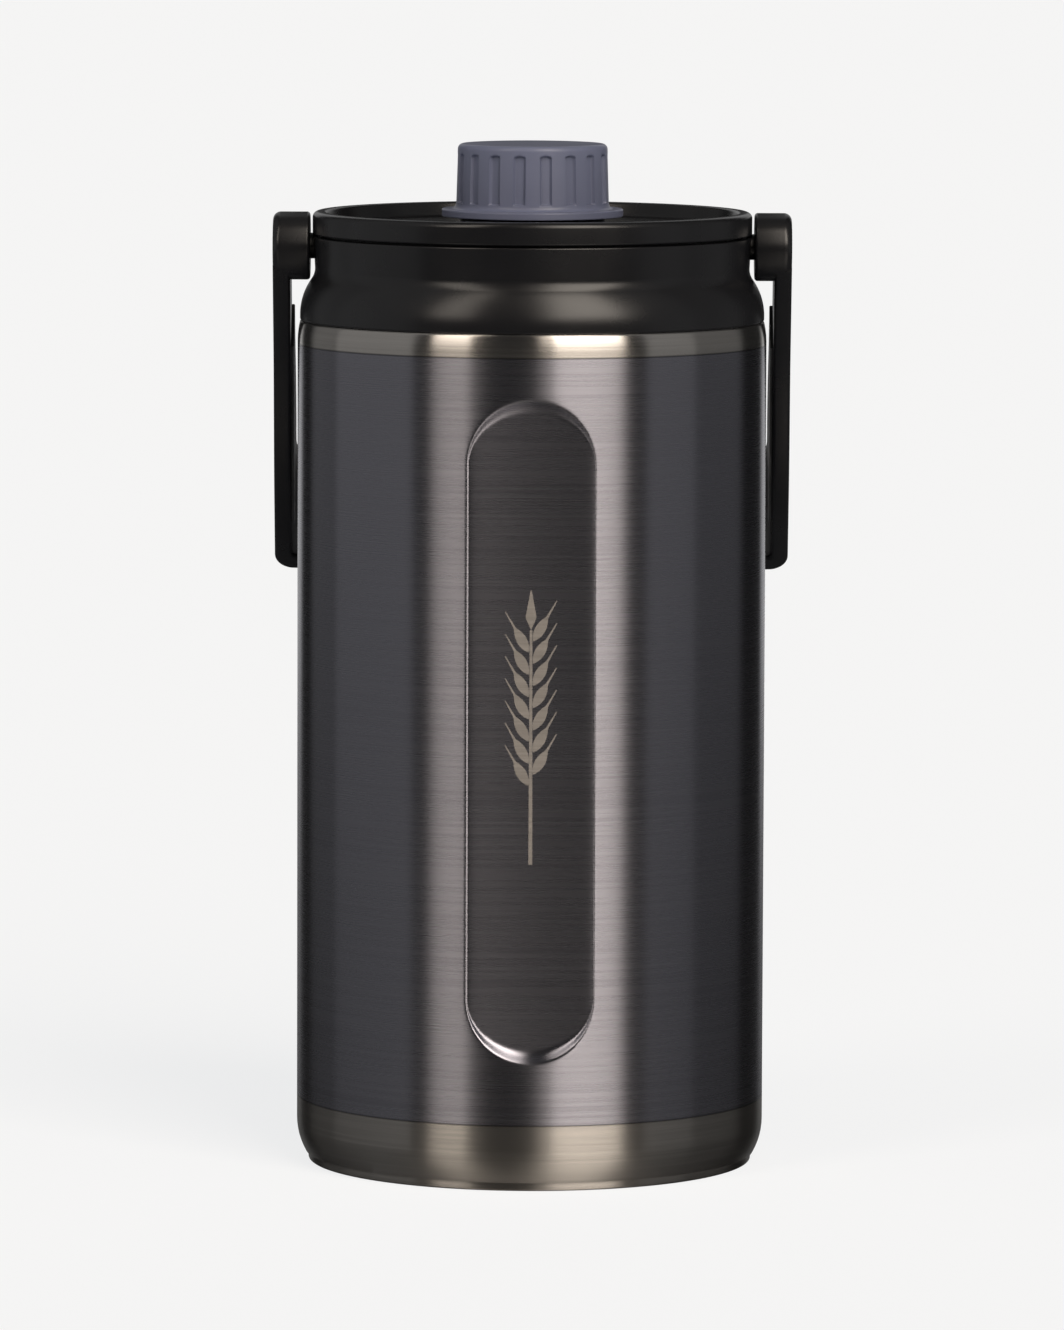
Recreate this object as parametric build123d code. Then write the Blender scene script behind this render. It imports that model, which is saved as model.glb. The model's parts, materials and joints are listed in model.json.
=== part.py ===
from build123d import *
import os
from math import asin, atan2, degrees, hypot, sqrt, tan

# Half-gallon insulated growler: a double-walled steel vessel with a pressed grip
# hollow front and back, a plastic collar that carries a swinging bail handle, an
# insulated screw lid, and a pour spout in the lid with its own ribbed screw cap.
#
# Millimetres. Z is up and the origin is the middle of the foot ring, on the surface
# that the growler stands on. X runs along the handle's pivots and -Y is the front.
# The handle is built hanging straight down and is then leaned back on to the body.
# The lid and the cap are screwed down.

# Clearances
weld_gap = 0.1          # between sheets that are welded at one edge only
slip_gap = 0.3          # between faces that slide or turn past each other
pivot_gap = 0.06        # radial, between a pivot stub and its hub
seat_gap = 0.05         # radial, between pieces that are pressed or snapped together
root_sink = 0.15        # how far a thread's root reaches into the wall that it grows from

# Steel vessel
steel = 0.6             # sheet thickness of the shell, the liner and the base
body_r = 60.0           # outer radius of the shell
ledge_z = 216.5         # height of the ledge that the collar stands on
shoulder_drop = 2.8     # below the ledge, where the shell starts to draw in
shoulder_r = 20.0
ledge_inset = 0.7       # how far the shell draws in below the ledge
ledge_width = 1.1
ledge_edge_r = 0.8
ledge_root_r = 0.2
ledge_top_r = 1.5
neck_root_r = 3.0
neck_inset = 7.4        # from the shell's outer radius to the neck's
neck_rise = 6.9         # from the ledge to where the neck's straight wall starts
neck_h = 13.1           # from there to the top of the steel lip
lip_overhang = 1.1      # of the rolled lip, over the neck
lip_round = 0.25
vacuum_gap = 4.6        # between shell and liner
liner_floor_z = 8.0
liner_corner_r = 12.0
liner_shoulder_drop = 9.0   # below the neck, where the liner starts to draw in
liner_shoulder_r = 10.0
liner_neck_drop = 3.4       # below the neck, where the liner has drawn in
liner_neck_round = 4.0
bottom_corner_z = 6.3   # where the shell's wall turns in towards the foot
bottom_corner_r = 17.0
shell_edge_inset = 2.3  # from the shell's outer radius to its lower edge
foot_inset = 3.0        # from the shell's outer radius to the foot ring's
foot_h = 2.2
foot_width = 2.4
foot_slope = 0.6        # how far the foot ring's inner wall leans in
foot_round = 0.6
fold_r = 0.2            # inside the sheet's tightest folds
dimple_r = 7.0          # round the vacuum port
dimple_h = 1.4
dimple_round = 0.8
dimple_top_round = 0.4
port_r = 1.0
seal_bead_r = 4.0
seal_bead_h = 1.2
seal_bead_round = 0.95
getter_r = 9.0
getter_h = 1.6
getter_round = 0.4

# Grip hollows in the shell
hollow_w = 32.0
hollow_low_z = 33.0
hollow_top_drop = 16.8  # from the ledge to the hollow's upper end
hollow_side_step = 0.15     # from the skin down to the flat floor, at the hollow's sides
hollow_round = 0.5      # where its floor turns up into its wall

# Lid thread, rolled in the neck and moulded on the plug
crest_share = 0.5       # a thread's width at its crest, as a share of its width at its root
lid_lead = 12.0
lid_starts = 3
lid_thread_width = 1.7
lid_thread_turns = 0.55
lid_thread_h = 1.3
lid_thread_gap = 0.4    # from a crest to the wall that it faces
lid_thread_drop = 13.5  # from the lip to the lower end of the neck's ridges

# Collar
collar_wall = 2.3
collar_clearance = 0.6      # between the neck and the collar
collar_edge_inset = 0.6     # from the shell's outer radius to the collar's lower edge
collar_edge_r = 0.4
collar_low_turn = 6.3       # above the ledge, where the flare's lower arc turns
collar_high_turn = 4.9      # above the neck's start, where its upper arc turns
collar_low_share = 0.74     # of the flare's length, taken up by its lower arc
collar_high_share = 0.23    # and by its upper arc
collar_inner_rise = 1.2     # above the neck's start, of the bore's lower end
collar_rise = 1.4           # over the steel lip
collar_flare = 0.5          # outwards, from the waist to the top
collar_top_round = 0.4
collar_seal_rise = 4.6      # above the neck's start
collar_seal_h = 2.4
collar_seal_w = 1.6

# Lid
lid_overhang = 0.2      # of the lid's rim, over the collar
lid_h = 5.7
lid_floor = 2.0         # thickness of the dished top
lid_low_round = 0.4
rim_w = 3.4
rim_outer_round = 1.5
rim_inner_round = 0.9
dish_slope = 1.2
dish_round = 1.2
plug_h = 24.5
plug_wall = 2.0
plug_round = 2.0
gasket_w = 3.2
gasket_h = 2.0

# Spout
spout_r = 12.2          # bore
spout_wall = 1.8
spout_h = 13.8          # above its flange
spout_flange_w = 4.5
spout_flange_h = 1.4
spout_flange_round = 0.4
spout_round = 0.5
spout_gasket_h = 0.8
spout_gasket_w = 2.9

# Cap and its thread
cap_lead = 6.0
cap_starts = 2
cap_thread_width = 1.2
cap_thread_turns = 0.9
cap_thread_h = 1.05
cap_thread_gap = 0.35
cap_thread_rise = 4.1   # from the spout's flange to the lower end of its ridges
cap_insert_wall = 1.5
cap_seal_h = 1.8
cap_insert_top = 1.3
cap_roof = 2.0
cap_wall = 2.65         # at the barrel's foot
cap_taper = 0.5         # inwards, from the barrel's foot to its top
cap_edge_r = 1.3
cap_flange_w = 3.6
cap_flange_h = 2.0
cap_flange_round = 0.4
cap_flange_fillet = 1.2
rib_count = 18
groove_w = 3.1
groove_depth = 0.9
groove_low = 1.5        # above the flange
groove_high = 2.4       # below the top
groove_round = 0.8

# Handle, with its pivots
pivot_drop = 2.6        # from the collar's top to the pivot axis
stub_r = 3.3
hub_r = 8.7
hub_gap = 0.6           # from the lid's rim to the hub
strap = 4.5             # thickness of the bail
arm_gap = 1.8           # from the body to an arm, beside the pivot
arm_splay = 1.3         # outwards, from the pivot to the crossbar
reach = 95.8            # from the pivot to the grip's inner face
grip_thick = 8.0        # on the crossbar
liner_thick = 0.8       # of the grip's liner, on the arms
liner_start = 30.0      # from the pivot
grip_inset = 1.2        # of the grip from the strap's edges
grip_round = 2.5
bar_half_w = 15.0
bail_corner_r = 5.0
bail_inner_r = 1.5
flare_start = 30.0
flare_end = 78.0
flare_r = 60.0
washer_r = 5.1
washer_h = 0.8
screw_r = 1.45
screw_head_r = 2.9
screw_head_h = 1.6
screw_slot_w = 0.8
screw_slot_l = 3.6
screw_grip = 7.5        # length of the screw's shank
screw_round = 0.5
hub_cap_r = 5.9
hub_cap_h = 1.4

# Radii and heights that follow from these
neck_r = body_r - neck_inset
neck_z = ledge_z + neck_rise
mouth_z = neck_z + neck_h
liner_r = body_r - steel - vacuum_gap
liner_neck_r = neck_r - steel - weld_gap
mouth_r = liner_neck_r - steel
lip_r = neck_r + lip_overhang
lip_low_z = mouth_z - steel
foot_r = body_r - foot_inset
hollow_high_z = ledge_z - hollow_top_drop
hollow_depth = body_r - sqrt(body_r ** 2 - (hollow_w / 2) ** 2) + hollow_side_step

collar_bore_r = neck_r + collar_clearance
waist_r = collar_bore_r + collar_wall
collar_top_r = waist_r + collar_flare
collar_top_z = mouth_z + collar_rise
collar_seal_z = neck_z + collar_seal_rise
lid_r = collar_top_r + lid_overhang
lid_low_z = mouth_z + gasket_h
lid_top_z = lid_low_z + lid_h
plug_low_z = lid_low_z - plug_h

lid_thread_z = mouth_z - lid_thread_drop
thread_crest_r = mouth_r - lid_thread_h
plug_r = thread_crest_r - lid_thread_gap
plug_crest_r = mouth_r - lid_thread_gap
dish_z = lid_low_z + lid_floor

tube_r = spout_r + spout_wall
spout_flange_r = tube_r + spout_flange_w
spout_crest_r = tube_r + cap_thread_h
insert_bore_r = spout_crest_r + cap_thread_gap
insert_crest_r = tube_r + cap_thread_gap
insert_r = insert_bore_r + cap_insert_wall
flange_low_z = dish_z + spout_gasket_h
flange_top_z = flange_low_z + spout_flange_h
spout_top_z = flange_top_z + spout_h
cap_thread_z = flange_top_z + cap_thread_rise
cap_bore_r = insert_r + seat_gap
cap_base_r = cap_bore_r + cap_wall
cap_top_r = cap_base_r - cap_taper
cap_flange_r = cap_base_r + cap_flange_w
cap_low_z = flange_top_z + slip_gap
cap_seal_top_z = spout_top_z + cap_seal_h
cap_ceiling_z = cap_seal_top_z + cap_insert_top
cap_top_z = cap_ceiling_z + cap_roof

pivot_z = collar_top_z - pivot_drop
hub_in_x = lid_r + hub_gap
arm_in_x = body_r + arm_gap
hub_out_x = arm_in_x + strap
bar_in_z = reach + grip_thick
bar_out_z = bar_in_z + strap
washer_x = hub_out_x - hub_cap_h - screw_head_h - washer_h - slip_gap
counterbore_x = washer_x - slip_gap

# The bail's rest lean: its grip's lower inner corner lies against the hollow's lips.
lip_y = sqrt(body_r ** 2 - (hollow_w / 2) ** 2) + slip_gap
rest_radius = hypot(reach + grip_round, bar_half_w - grip_inset - grip_round)
rest_lean = degrees(
    asin((lip_y + grip_round) / rest_radius)
    + atan2(bar_half_w - grip_inset - grip_round, reach + grip_round)
)
pivot_axis = Axis((0, 0, pivot_z), (1, 0, 0))


def rounded_face(corners, plane=Plane.XZ):
    """Face with straight sides. A corner is (x, y) or, where it's rounded, (x, y, radius)."""
    corners = [corner for i, corner in enumerate(corners) if corner[:2] != corners[i - 1][:2]]
    points = [Vector(*corner[:2]) for corner in corners]
    radii = [corner[2] if len(corner) > 2 else 0 for corner in corners]
    edges, joints = [], []
    for i, (point, radius) in enumerate(zip(points, radii)):
        back = (points[i - 1] - point).normalized()
        ahead = (points[(i + 1) % len(points)] - point).normalized()
        if not radius:
            joints.append((point, point))
            continue
        half = (back.get_angle(ahead)) / 2
        cut = Vector(1, 0).rotate(Axis.Z, half)
        run, lift = radius * cut.X / cut.Y, radius / cut.Y - radius
        start, end = point + back * run, point + ahead * run
        middle = point + (back + ahead).normalized() * lift
        edges.append(ThreePointArc(start, middle, end).edge())
        joints.append((start, end))
    for i, (_, end) in enumerate(joints):
        start = joints[(i + 1) % len(joints)][0]
        if (start - end).length > 1e-6:
            edges.append(Line(end, start).edge())
    return plane * Face(Wire(edges))


def lathe(corners):
    """Solid of revolution about Z, from corners given as radius, height and rounding."""
    return revolve(rounded_face(corners), Axis.Z)


def disc(r, low_z, high_z):
    """Solid round plate about Z."""
    return Pos(0, 0, low_z) * extrude(Circle(r), high_z - low_z)


def tube(outer_r, inner_r, low_z, high_z):
    """Plain ring about Z."""
    return disc(outer_r, low_z, high_z) - disc(inner_r, low_z, high_z)


def rod(r, start_x, end_x):
    """Round bar on the pivot axis, on the +X side."""
    face = Plane((start_x, 0, pivot_z), x_dir=(0, 1, 0), z_dir=(1, 0, 0)) * Circle(r)
    return extrude(face, end_x - start_x)


def both_sides(shape):
    """The shape and its mirror image on the other side of the body."""
    return [shape, mirror(shape, Plane.YZ)]


def helical_ridge(root_r, crest_r, width, lead, starts, turns, low_z):
    """Thread of several starts. Its root reaches a little into the wall that it grows from."""
    sign = 1 if crest_r > root_r else -1
    sunk_r = root_r - sign * root_sink
    crest_w = width * crest_share
    profile = Plane.XZ * Polygon(
        (sunk_r, -width / 2), (sunk_r, width / 2), (crest_r, crest_w / 2), (crest_r, -crest_w / 2),
        align=None,
    )
    path = Helix(lead, lead * turns, sunk_r)
    ridge = Pos(0, 0, low_z) * sweep(profile, path=path, is_frenet=True)
    return [Rot(0, 0, 360 * i / starts) * ridge for i in range(starts)]


def joined(body, pieces):
    """One solid of a body and the pieces that grow from it."""
    for piece in pieces:
        body = body + piece
    return body


# ---------------------------------------------------------------- steel vessel

def shell_outline(inset, over):
    """Outline of the shell, drawn inset inside its skin and run over past its open ends."""
    ledge_r = body_r - ledge_inset - ledge_width
    top_z = lip_low_z + over
    return [
        (0, foot_h - over),
        (body_r - shell_edge_inset - inset, foot_h - over),
        (body_r - shell_edge_inset - inset, foot_h),
        (body_r - inset, bottom_corner_z, bottom_corner_r - inset),
        (body_r - inset, ledge_z - shoulder_drop, shoulder_r),
        (body_r - ledge_inset - inset, ledge_z - inset, ledge_edge_r),
        (ledge_r - inset, ledge_z - inset, ledge_root_r + inset),
        (ledge_r - inset, ledge_z + ledge_width, ledge_top_r),
        (neck_r - inset, neck_z, neck_root_r),
        (neck_r - inset, top_z),
        (0, top_z),
    ]


def hollow_tool(extra):
    """Cutter for the front grip hollow, grown by extra on its floor and its wall."""
    floor_y = body_r - hollow_depth - extra
    length = hollow_high_z - hollow_low_z + 2 * extra
    middle_z = (hollow_high_z + hollow_low_z) / 2
    plane = Plane((0, -floor_y, middle_z), x_dir=(0, 0, 1), z_dir=(0, -1, 0))
    block = extrude(plane * SlotOverall(length, hollow_w + 2 * extra), 4 * hollow_depth)
    floor_edges = block.faces().sort_by(Axis.Y)[-1].edges()
    return fillet(floor_edges, hollow_round + extra)


def outer_shell():
    """Drawn steel shell with a pressed hollow in its front and back."""
    skin = lathe(shell_outline(0, 0))
    core = lathe(shell_outline(steel, 2 * steel))
    for turn in (0, 180):
        skin = skin - Rot(0, 0, turn) * hollow_tool(0)
        core = core - Rot(0, 0, turn) * hollow_tool(steel)
    return skin - core


def base_plate():
    """Pressed base with the foot ring and, in its middle, the dimple of the vacuum port."""
    ring_in = foot_r - foot_width
    top_z = foot_h + steel
    return lathe([
        (port_r, foot_h + dimple_h),
        (dimple_r - dimple_h, foot_h + dimple_h, dimple_top_round),
        (dimple_r, foot_h, dimple_round),
        (ring_in - foot_slope, foot_h, foot_round),
        (ring_in, 0, foot_round),
        (foot_r, 0, foot_round),
        (foot_r, foot_h + 2 * steel),
        (foot_r - steel, foot_h + 2 * steel),
        (foot_r - steel, steel, fold_r),
        (ring_in + steel, steel, fold_r),
        (ring_in + steel - foot_slope, top_z, dimple_round),
        (dimple_r, top_z, dimple_round),
        (dimple_r - dimple_h, top_z + dimple_h, dimple_top_round),
        (port_r, top_z + dimple_h),
    ])


def liner_outline(inset, over):
    """Outline of the inner bottle, drawn inset inside its skin."""
    return [
        (0, liner_floor_z + inset),
        (liner_r - inset, liner_floor_z + inset, liner_corner_r - inset),
        (liner_r - inset, neck_z - liner_shoulder_drop, liner_shoulder_r),
        (liner_neck_r - inset, neck_z - liner_neck_drop, liner_neck_round),
        (liner_neck_r - inset, mouth_z + over),
        (0, mouth_z + over),
    ]


def inner_liner():
    """Inner steel bottle, with the rolled lip and the neck's thread."""
    bottle = lathe(liner_outline(0, 0)) - lathe(liner_outline(steel, steel))
    lip = lathe([
        (mouth_r, lip_low_z), (lip_r, lip_low_z, lip_round),
        (lip_r, mouth_z, lip_round), (mouth_r, mouth_z),
    ])
    ridges = helical_ridge(
        mouth_r, thread_crest_r, lid_thread_width, lid_lead, lid_starts, lid_thread_turns, lid_thread_z
    )
    return joined(bottle + lip, ridges)


def getter_cup():
    """Getter, welded under the liner's floor in the vacuum space."""
    low_z = liner_floor_z - getter_h
    return lathe([
        (0, low_z), (getter_r, low_z, getter_round), (getter_r, liner_floor_z), (0, liner_floor_z),
    ])


def seal_bead():
    """Solder bead that closes the vacuum port, in the base plate's dimple."""
    top_z = foot_h + dimple_h
    return lathe([
        (0, top_z - seal_bead_h), (seal_bead_r, top_z - seal_bead_h, seal_bead_round),
        (seal_bead_r, top_z), (0, top_z),
    ])


# ---------------------------------------------------------------------- collar

def collar():
    """Moulded shoulder ring with a pivot stub each side, trapped between ledge and lip."""
    edge_r = body_r - collar_edge_inset
    inner_edge_r = body_r - ledge_inset - ledge_width + slip_gap
    low_turn_z, high_turn_z = ledge_z + collar_low_turn, neck_z + collar_high_turn
    flare, rise = edge_r - waist_r, high_turn_z - low_turn_z
    sweep = hypot(flare, rise) / tan(atan2(flare, rise) / 2)
    ring = lathe([
        (inner_edge_r, ledge_z),
        (edge_r, ledge_z, collar_edge_r),
        (edge_r, low_turn_z, collar_low_share * sweep),
        (waist_r, high_turn_z, collar_high_share * sweep),
        (collar_top_r, collar_top_z, collar_top_round),
        (lip_r + slip_gap, collar_top_z),
        (lip_r + slip_gap, lip_low_z),
        (collar_bore_r, lip_low_z),
        (collar_bore_r, neck_z + collar_inner_rise),
        (inner_edge_r, ledge_z + ledge_width + collar_inner_rise),
    ])
    groove = tube(
        neck_r + collar_seal_w, neck_r, collar_seal_z, collar_seal_z + collar_seal_h
    )
    ring = joined(ring - groove, both_sides(rod(stub_r, collar_top_r - collar_wall, washer_x)))
    lid_room = tube(lid_r + slip_gap, lip_r, collar_top_z, lid_top_z)
    for hole in both_sides(rod(screw_r + seat_gap, washer_x - screw_grip, washer_x)):
        ring = ring - hole
    return ring - lid_room


def collar_seal():
    """Silicone ring in the collar's groove, against the steel neck."""
    return tube(
        neck_r + collar_seal_w - seat_gap, neck_r + seat_gap,
        collar_seal_z, collar_seal_z + collar_seal_h,
    )


def pivot_washers():
    """One washer on the end of each stub, which keeps the hub on it."""
    washer = rod(washer_r, washer_x, washer_x + washer_h) - rod(
        screw_r + slip_gap, washer_x, washer_x + washer_h
    )
    return Compound(both_sides(washer))


def pivot_screws():
    """One pan-head screw in the end of each stub."""
    head_x = washer_x + washer_h
    head = rod(screw_head_r, head_x, head_x + screw_head_h)
    head = fillet(head.faces().sort_by(Axis.X)[-1].edges(), screw_round)
    slot = Pos(head_x + screw_head_h, 0, pivot_z) * Box(screw_head_h, screw_slot_w, screw_slot_l)
    shank = rod(screw_r, washer_x - screw_grip + slip_gap, head_x)
    return Compound(both_sides(head - slot + shank))


# ---------------------------------------------------------------------- handle

def side_outline(inset):
    """The bail seen along the pivot axis, inset from the strap's edges."""
    hub, bar = hub_r - inset, bar_half_w - inset
    right = [
        (hub, hub_r, hub - 0.01),
        (hub, -flare_start, flare_r),
        (bar, -flare_end, flare_r),
        (bar, -bar_out_z, grip_round),
    ]
    left = [(-y, *rest) for y, *rest in reversed(right)]
    face = rounded_face(right + left, Plane.YZ)
    width = 2 * (arm_in_x + strap + arm_splay)
    return Pos(-width / 2, 0, pivot_z) * extrude(face, width, dir=(1, 0, 0))


def bail_block(half_w, bottom, corner_r, high_z):
    """Block that fills the bail down to bottom, with its sides splayed as the arms are."""
    splay = arm_splay / bar_out_z
    high, low = half_w - splay * high_z, half_w + splay * bottom
    face = rounded_face([
        (-high, high_z), (high, high_z), (low, -bottom, corner_r), (-low, -bottom, corner_r),
    ])
    return Pos(0, 0, pivot_z) * extrude(face, 2 * bar_half_w, both=True)


def handle_frame():
    """Bail of one bent strap, with a hub each side for the stub, the washer and the trim cap."""
    band = bail_block(arm_in_x + strap, bar_out_z, bail_corner_r, hub_r) - bail_block(
        arm_in_x, bar_in_z, bail_inner_r, hub_r
    )
    frame = band & side_outline(0)
    frame = joined(frame, both_sides(rod(hub_r, hub_in_x, hub_out_x - strap / 2)))
    bores = [
        rod(stub_r + pivot_gap, hub_in_x, counterbore_x),
        rod(washer_r + slip_gap, counterbore_x, hub_out_x - hub_cap_h),
        rod(hub_cap_r + seat_gap, hub_out_x - hub_cap_h, hub_out_x + arm_splay),
    ]
    for bore in bores:
        for side in both_sides(bore):
            frame = frame - side
    return frame


def handle_grip():
    """Soft grip: a thick pad on the crossbar, and a thin liner that runs on up each arm."""
    outside = bail_block(arm_in_x, bar_in_z, bail_inner_r, -liner_start)
    liner = outside - bail_block(
        arm_in_x - liner_thick, bar_in_z - liner_thick, bail_inner_r, -liner_start
    )
    half_w = bar_half_w - grip_inset
    profile = rounded_face([
        (-half_w, -bar_out_z), (half_w, -bar_out_z),
        (half_w, -reach, grip_round), (-half_w, -reach, grip_round),
    ], Plane.YZ)
    pad = bail_block(arm_in_x, bar_in_z, bail_inner_r, -reach) & (
        Pos(0, 0, pivot_z) * extrude(profile, hub_out_x, both=True)
    )
    return (liner & side_outline(grip_inset)) + pad


def hub_caps():
    """Trim cap snapped into each hub's outer face."""
    cap = rod(hub_cap_r, hub_out_x - hub_cap_h, hub_out_x)
    cap = fillet(cap.faces().sort_by(Axis.X)[-1].edges(), screw_round)
    return Compound(both_sides(cap))


# ------------------------------------------------------------------------- lid

def lid_shell():
    """Dished top of the lid, with its raised rim."""
    rim_in = lid_r - rim_w
    return lathe([
        (tube_r + slip_gap, lid_low_z),
        (lid_r, lid_low_z, lid_low_round),
        (lid_r, lid_top_z, rim_outer_round),
        (rim_in, lid_top_z, rim_inner_round),
        (rim_in - dish_slope, dish_z, dish_round),
        (tube_r + slip_gap, dish_z),
    ])


def lid_plug():
    """Plug under the lid: a cup with the thread on its wall and a hole for the spout."""
    cup = lathe([
        (tube_r + seat_gap, plug_low_z),
        (plug_r, plug_low_z, plug_round),
        (plug_r, lid_low_z),
        (plug_r - plug_wall, lid_low_z),
        (plug_r - plug_wall, plug_low_z + plug_wall),
        (tube_r + seat_gap, plug_low_z + plug_wall),
    ])
    pitch = lid_lead / lid_starts
    ridges = helical_ridge(
        plug_r, plug_crest_r, lid_thread_width, lid_lead, lid_starts, lid_thread_turns,
        lid_thread_z - pitch / 2,
    )
    return joined(cup, ridges)


def lid_foam():
    """Foam ring that fills the plug."""
    return tube(
        plug_r - plug_wall - seat_gap, tube_r + seat_gap, plug_low_z + plug_wall, lid_low_z
    )


def lid_gasket():
    """Silicone ring between the steel lip and the underside of the lid."""
    outer_r = lip_r - slip_gap
    return tube(outer_r, outer_r - gasket_w, mouth_z, lid_low_z)


def spout():
    """Pour tube through the lid, with a flange on the dish and a thread for the cap."""
    body = lathe([
        (spout_r, plug_low_z),
        (tube_r, plug_low_z),
        (tube_r, flange_low_z),
        (spout_flange_r, flange_low_z),
        (spout_flange_r, flange_top_z, spout_flange_round),
        (tube_r, flange_top_z, spout_round),
        (tube_r, spout_top_z, spout_round),
        (spout_r, spout_top_z, spout_round),
    ])
    ridges = helical_ridge(
        tube_r, spout_crest_r, cap_thread_width, cap_lead, cap_starts, cap_thread_turns, cap_thread_z
    )
    return joined(body, ridges)


def spout_gasket():
    """Flat ring under the spout's flange."""
    inner_r = tube_r + slip_gap
    return tube(inner_r + spout_gasket_w, inner_r, dish_z, flange_low_z)


# ------------------------------------------------------------------------- cap

def cap_shell():
    """Ribbed outer cap with a flange round its foot."""
    body = lathe([
        (cap_bore_r, cap_low_z),
        (cap_flange_r, cap_low_z, cap_flange_round),
        (cap_flange_r, cap_low_z + cap_flange_h, cap_flange_round),
        (cap_base_r, cap_low_z + cap_flange_h, cap_flange_fillet),
        (cap_top_r, cap_top_z, cap_edge_r),
        (0, cap_top_z),
        (0, cap_ceiling_z),
        (cap_bore_r, cap_ceiling_z),
    ])
    low_z = cap_low_z + cap_flange_h + groove_low
    height = cap_top_z - groove_high - low_z
    cutter = Box(
        2 * groove_depth, groove_w, height, align=(Align.CENTER, Align.CENTER, Align.MIN)
    )
    cutter = fillet(
        cutter.edges().filter_by(Axis.X).group_by(Axis.Z)[-1], groove_round
    )
    # The cutter's inner face leans with the cap's wall.
    lean = degrees(atan2(cap_base_r - cap_top_r, cap_top_z - cap_low_z - cap_flange_h))
    cutter = Pos(cap_base_r, 0, low_z) * Rot(0, -lean, 0) * cutter
    for i in range(rib_count):
        body = body - Rot(0, 0, 360 * (i + 0.5) / rib_count - 90) * cutter
    return body


def cap_insert():
    """Threaded liner of the cap."""
    cup = lathe([
        (0, cap_seal_top_z),
        (insert_bore_r, cap_seal_top_z),
        (insert_bore_r, cap_low_z + cap_flange_h),
        (insert_r, cap_low_z + cap_flange_h),
        (insert_r, cap_ceiling_z),
        (0, cap_ceiling_z),
    ])
    pitch = cap_lead / cap_starts
    ridges = helical_ridge(
        insert_bore_r, insert_crest_r, cap_thread_width, cap_lead, cap_starts, cap_thread_turns,
        cap_thread_z - pitch / 2,
    )
    return joined(cup, ridges)


def cap_seal():
    """Silicone disc that closes the spout."""
    return disc(insert_bore_r - seat_gap, spout_top_z, cap_seal_top_z)


fixed_nodes = {
    "outer_shell": outer_shell,
    "base_plate": base_plate,
    "inner_liner": inner_liner,
    "getter_cup": getter_cup,
    "seal_bead": seal_bead,
    "collar": collar,
    "collar_seal": collar_seal,
    "pivot_washers": pivot_washers,
    "pivot_screws": pivot_screws,
    "lid_shell": lid_shell,
    "lid_plug": lid_plug,
    "lid_foam": lid_foam,
    "lid_gasket": lid_gasket,
    "spout": spout,
    "spout_gasket": spout_gasket,
    "cap_shell": cap_shell,
    "cap_insert": cap_insert,
    "cap_seal": cap_seal,
}
leaning_nodes = {
    "handle_frame": handle_frame,
    "handle_grip": handle_grip,
    "hub_caps": hub_caps,
}

os.makedirs("parts", exist_ok=True)
for name, build in fixed_nodes.items():
    export_step(build(), f"parts/{name}.step")
for name, build in leaning_nodes.items():
    export_step(build().rotate(pivot_axis, rest_lean), f"parts/{name}.step")
print(f"rest lean {rest_lean:.2f} degrees, cap top {cap_top_z:.2f}, washer at {washer_x:.2f}")
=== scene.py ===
"""Looks of an insulated steel growler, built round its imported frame.

The steel vessel, its collar, the bail handle, the screw lid and the pour cap are each a
class that builds its meshes and dresses them. Sizes are millimetres in the dataclasses
and metres in Blender, in the frame's own axes: +Z up, +X along the handle's pivots and
-Y to the front.
"""

from __future__ import annotations

import json
import logging
import math
from dataclasses import dataclass
from enum import Enum
from typing import Callable, Iterable, Sequence

import bmesh
import bpy
from mathutils import Matrix, Vector

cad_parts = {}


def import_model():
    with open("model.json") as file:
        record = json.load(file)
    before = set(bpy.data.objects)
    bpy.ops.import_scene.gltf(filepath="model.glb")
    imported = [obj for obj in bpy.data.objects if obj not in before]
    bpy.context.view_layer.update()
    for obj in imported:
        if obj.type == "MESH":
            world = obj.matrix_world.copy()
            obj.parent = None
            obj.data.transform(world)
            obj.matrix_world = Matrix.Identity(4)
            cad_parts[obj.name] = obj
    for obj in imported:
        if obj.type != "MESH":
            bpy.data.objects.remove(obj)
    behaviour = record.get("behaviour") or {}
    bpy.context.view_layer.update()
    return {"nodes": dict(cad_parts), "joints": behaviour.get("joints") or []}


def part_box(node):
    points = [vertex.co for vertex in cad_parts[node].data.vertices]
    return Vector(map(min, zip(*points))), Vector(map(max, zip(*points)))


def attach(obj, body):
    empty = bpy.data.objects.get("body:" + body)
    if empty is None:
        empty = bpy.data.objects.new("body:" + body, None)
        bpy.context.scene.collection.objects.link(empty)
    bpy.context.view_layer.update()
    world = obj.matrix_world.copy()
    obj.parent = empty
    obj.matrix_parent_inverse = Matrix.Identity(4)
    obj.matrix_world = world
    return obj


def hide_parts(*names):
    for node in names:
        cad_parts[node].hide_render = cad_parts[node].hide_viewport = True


LOG = logging.getLogger("growler")
MM = 0.001

Point = tuple[float, float]
Corner = tuple[float, ...]


# --------------------------------------------------------------------------- outlines


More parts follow.
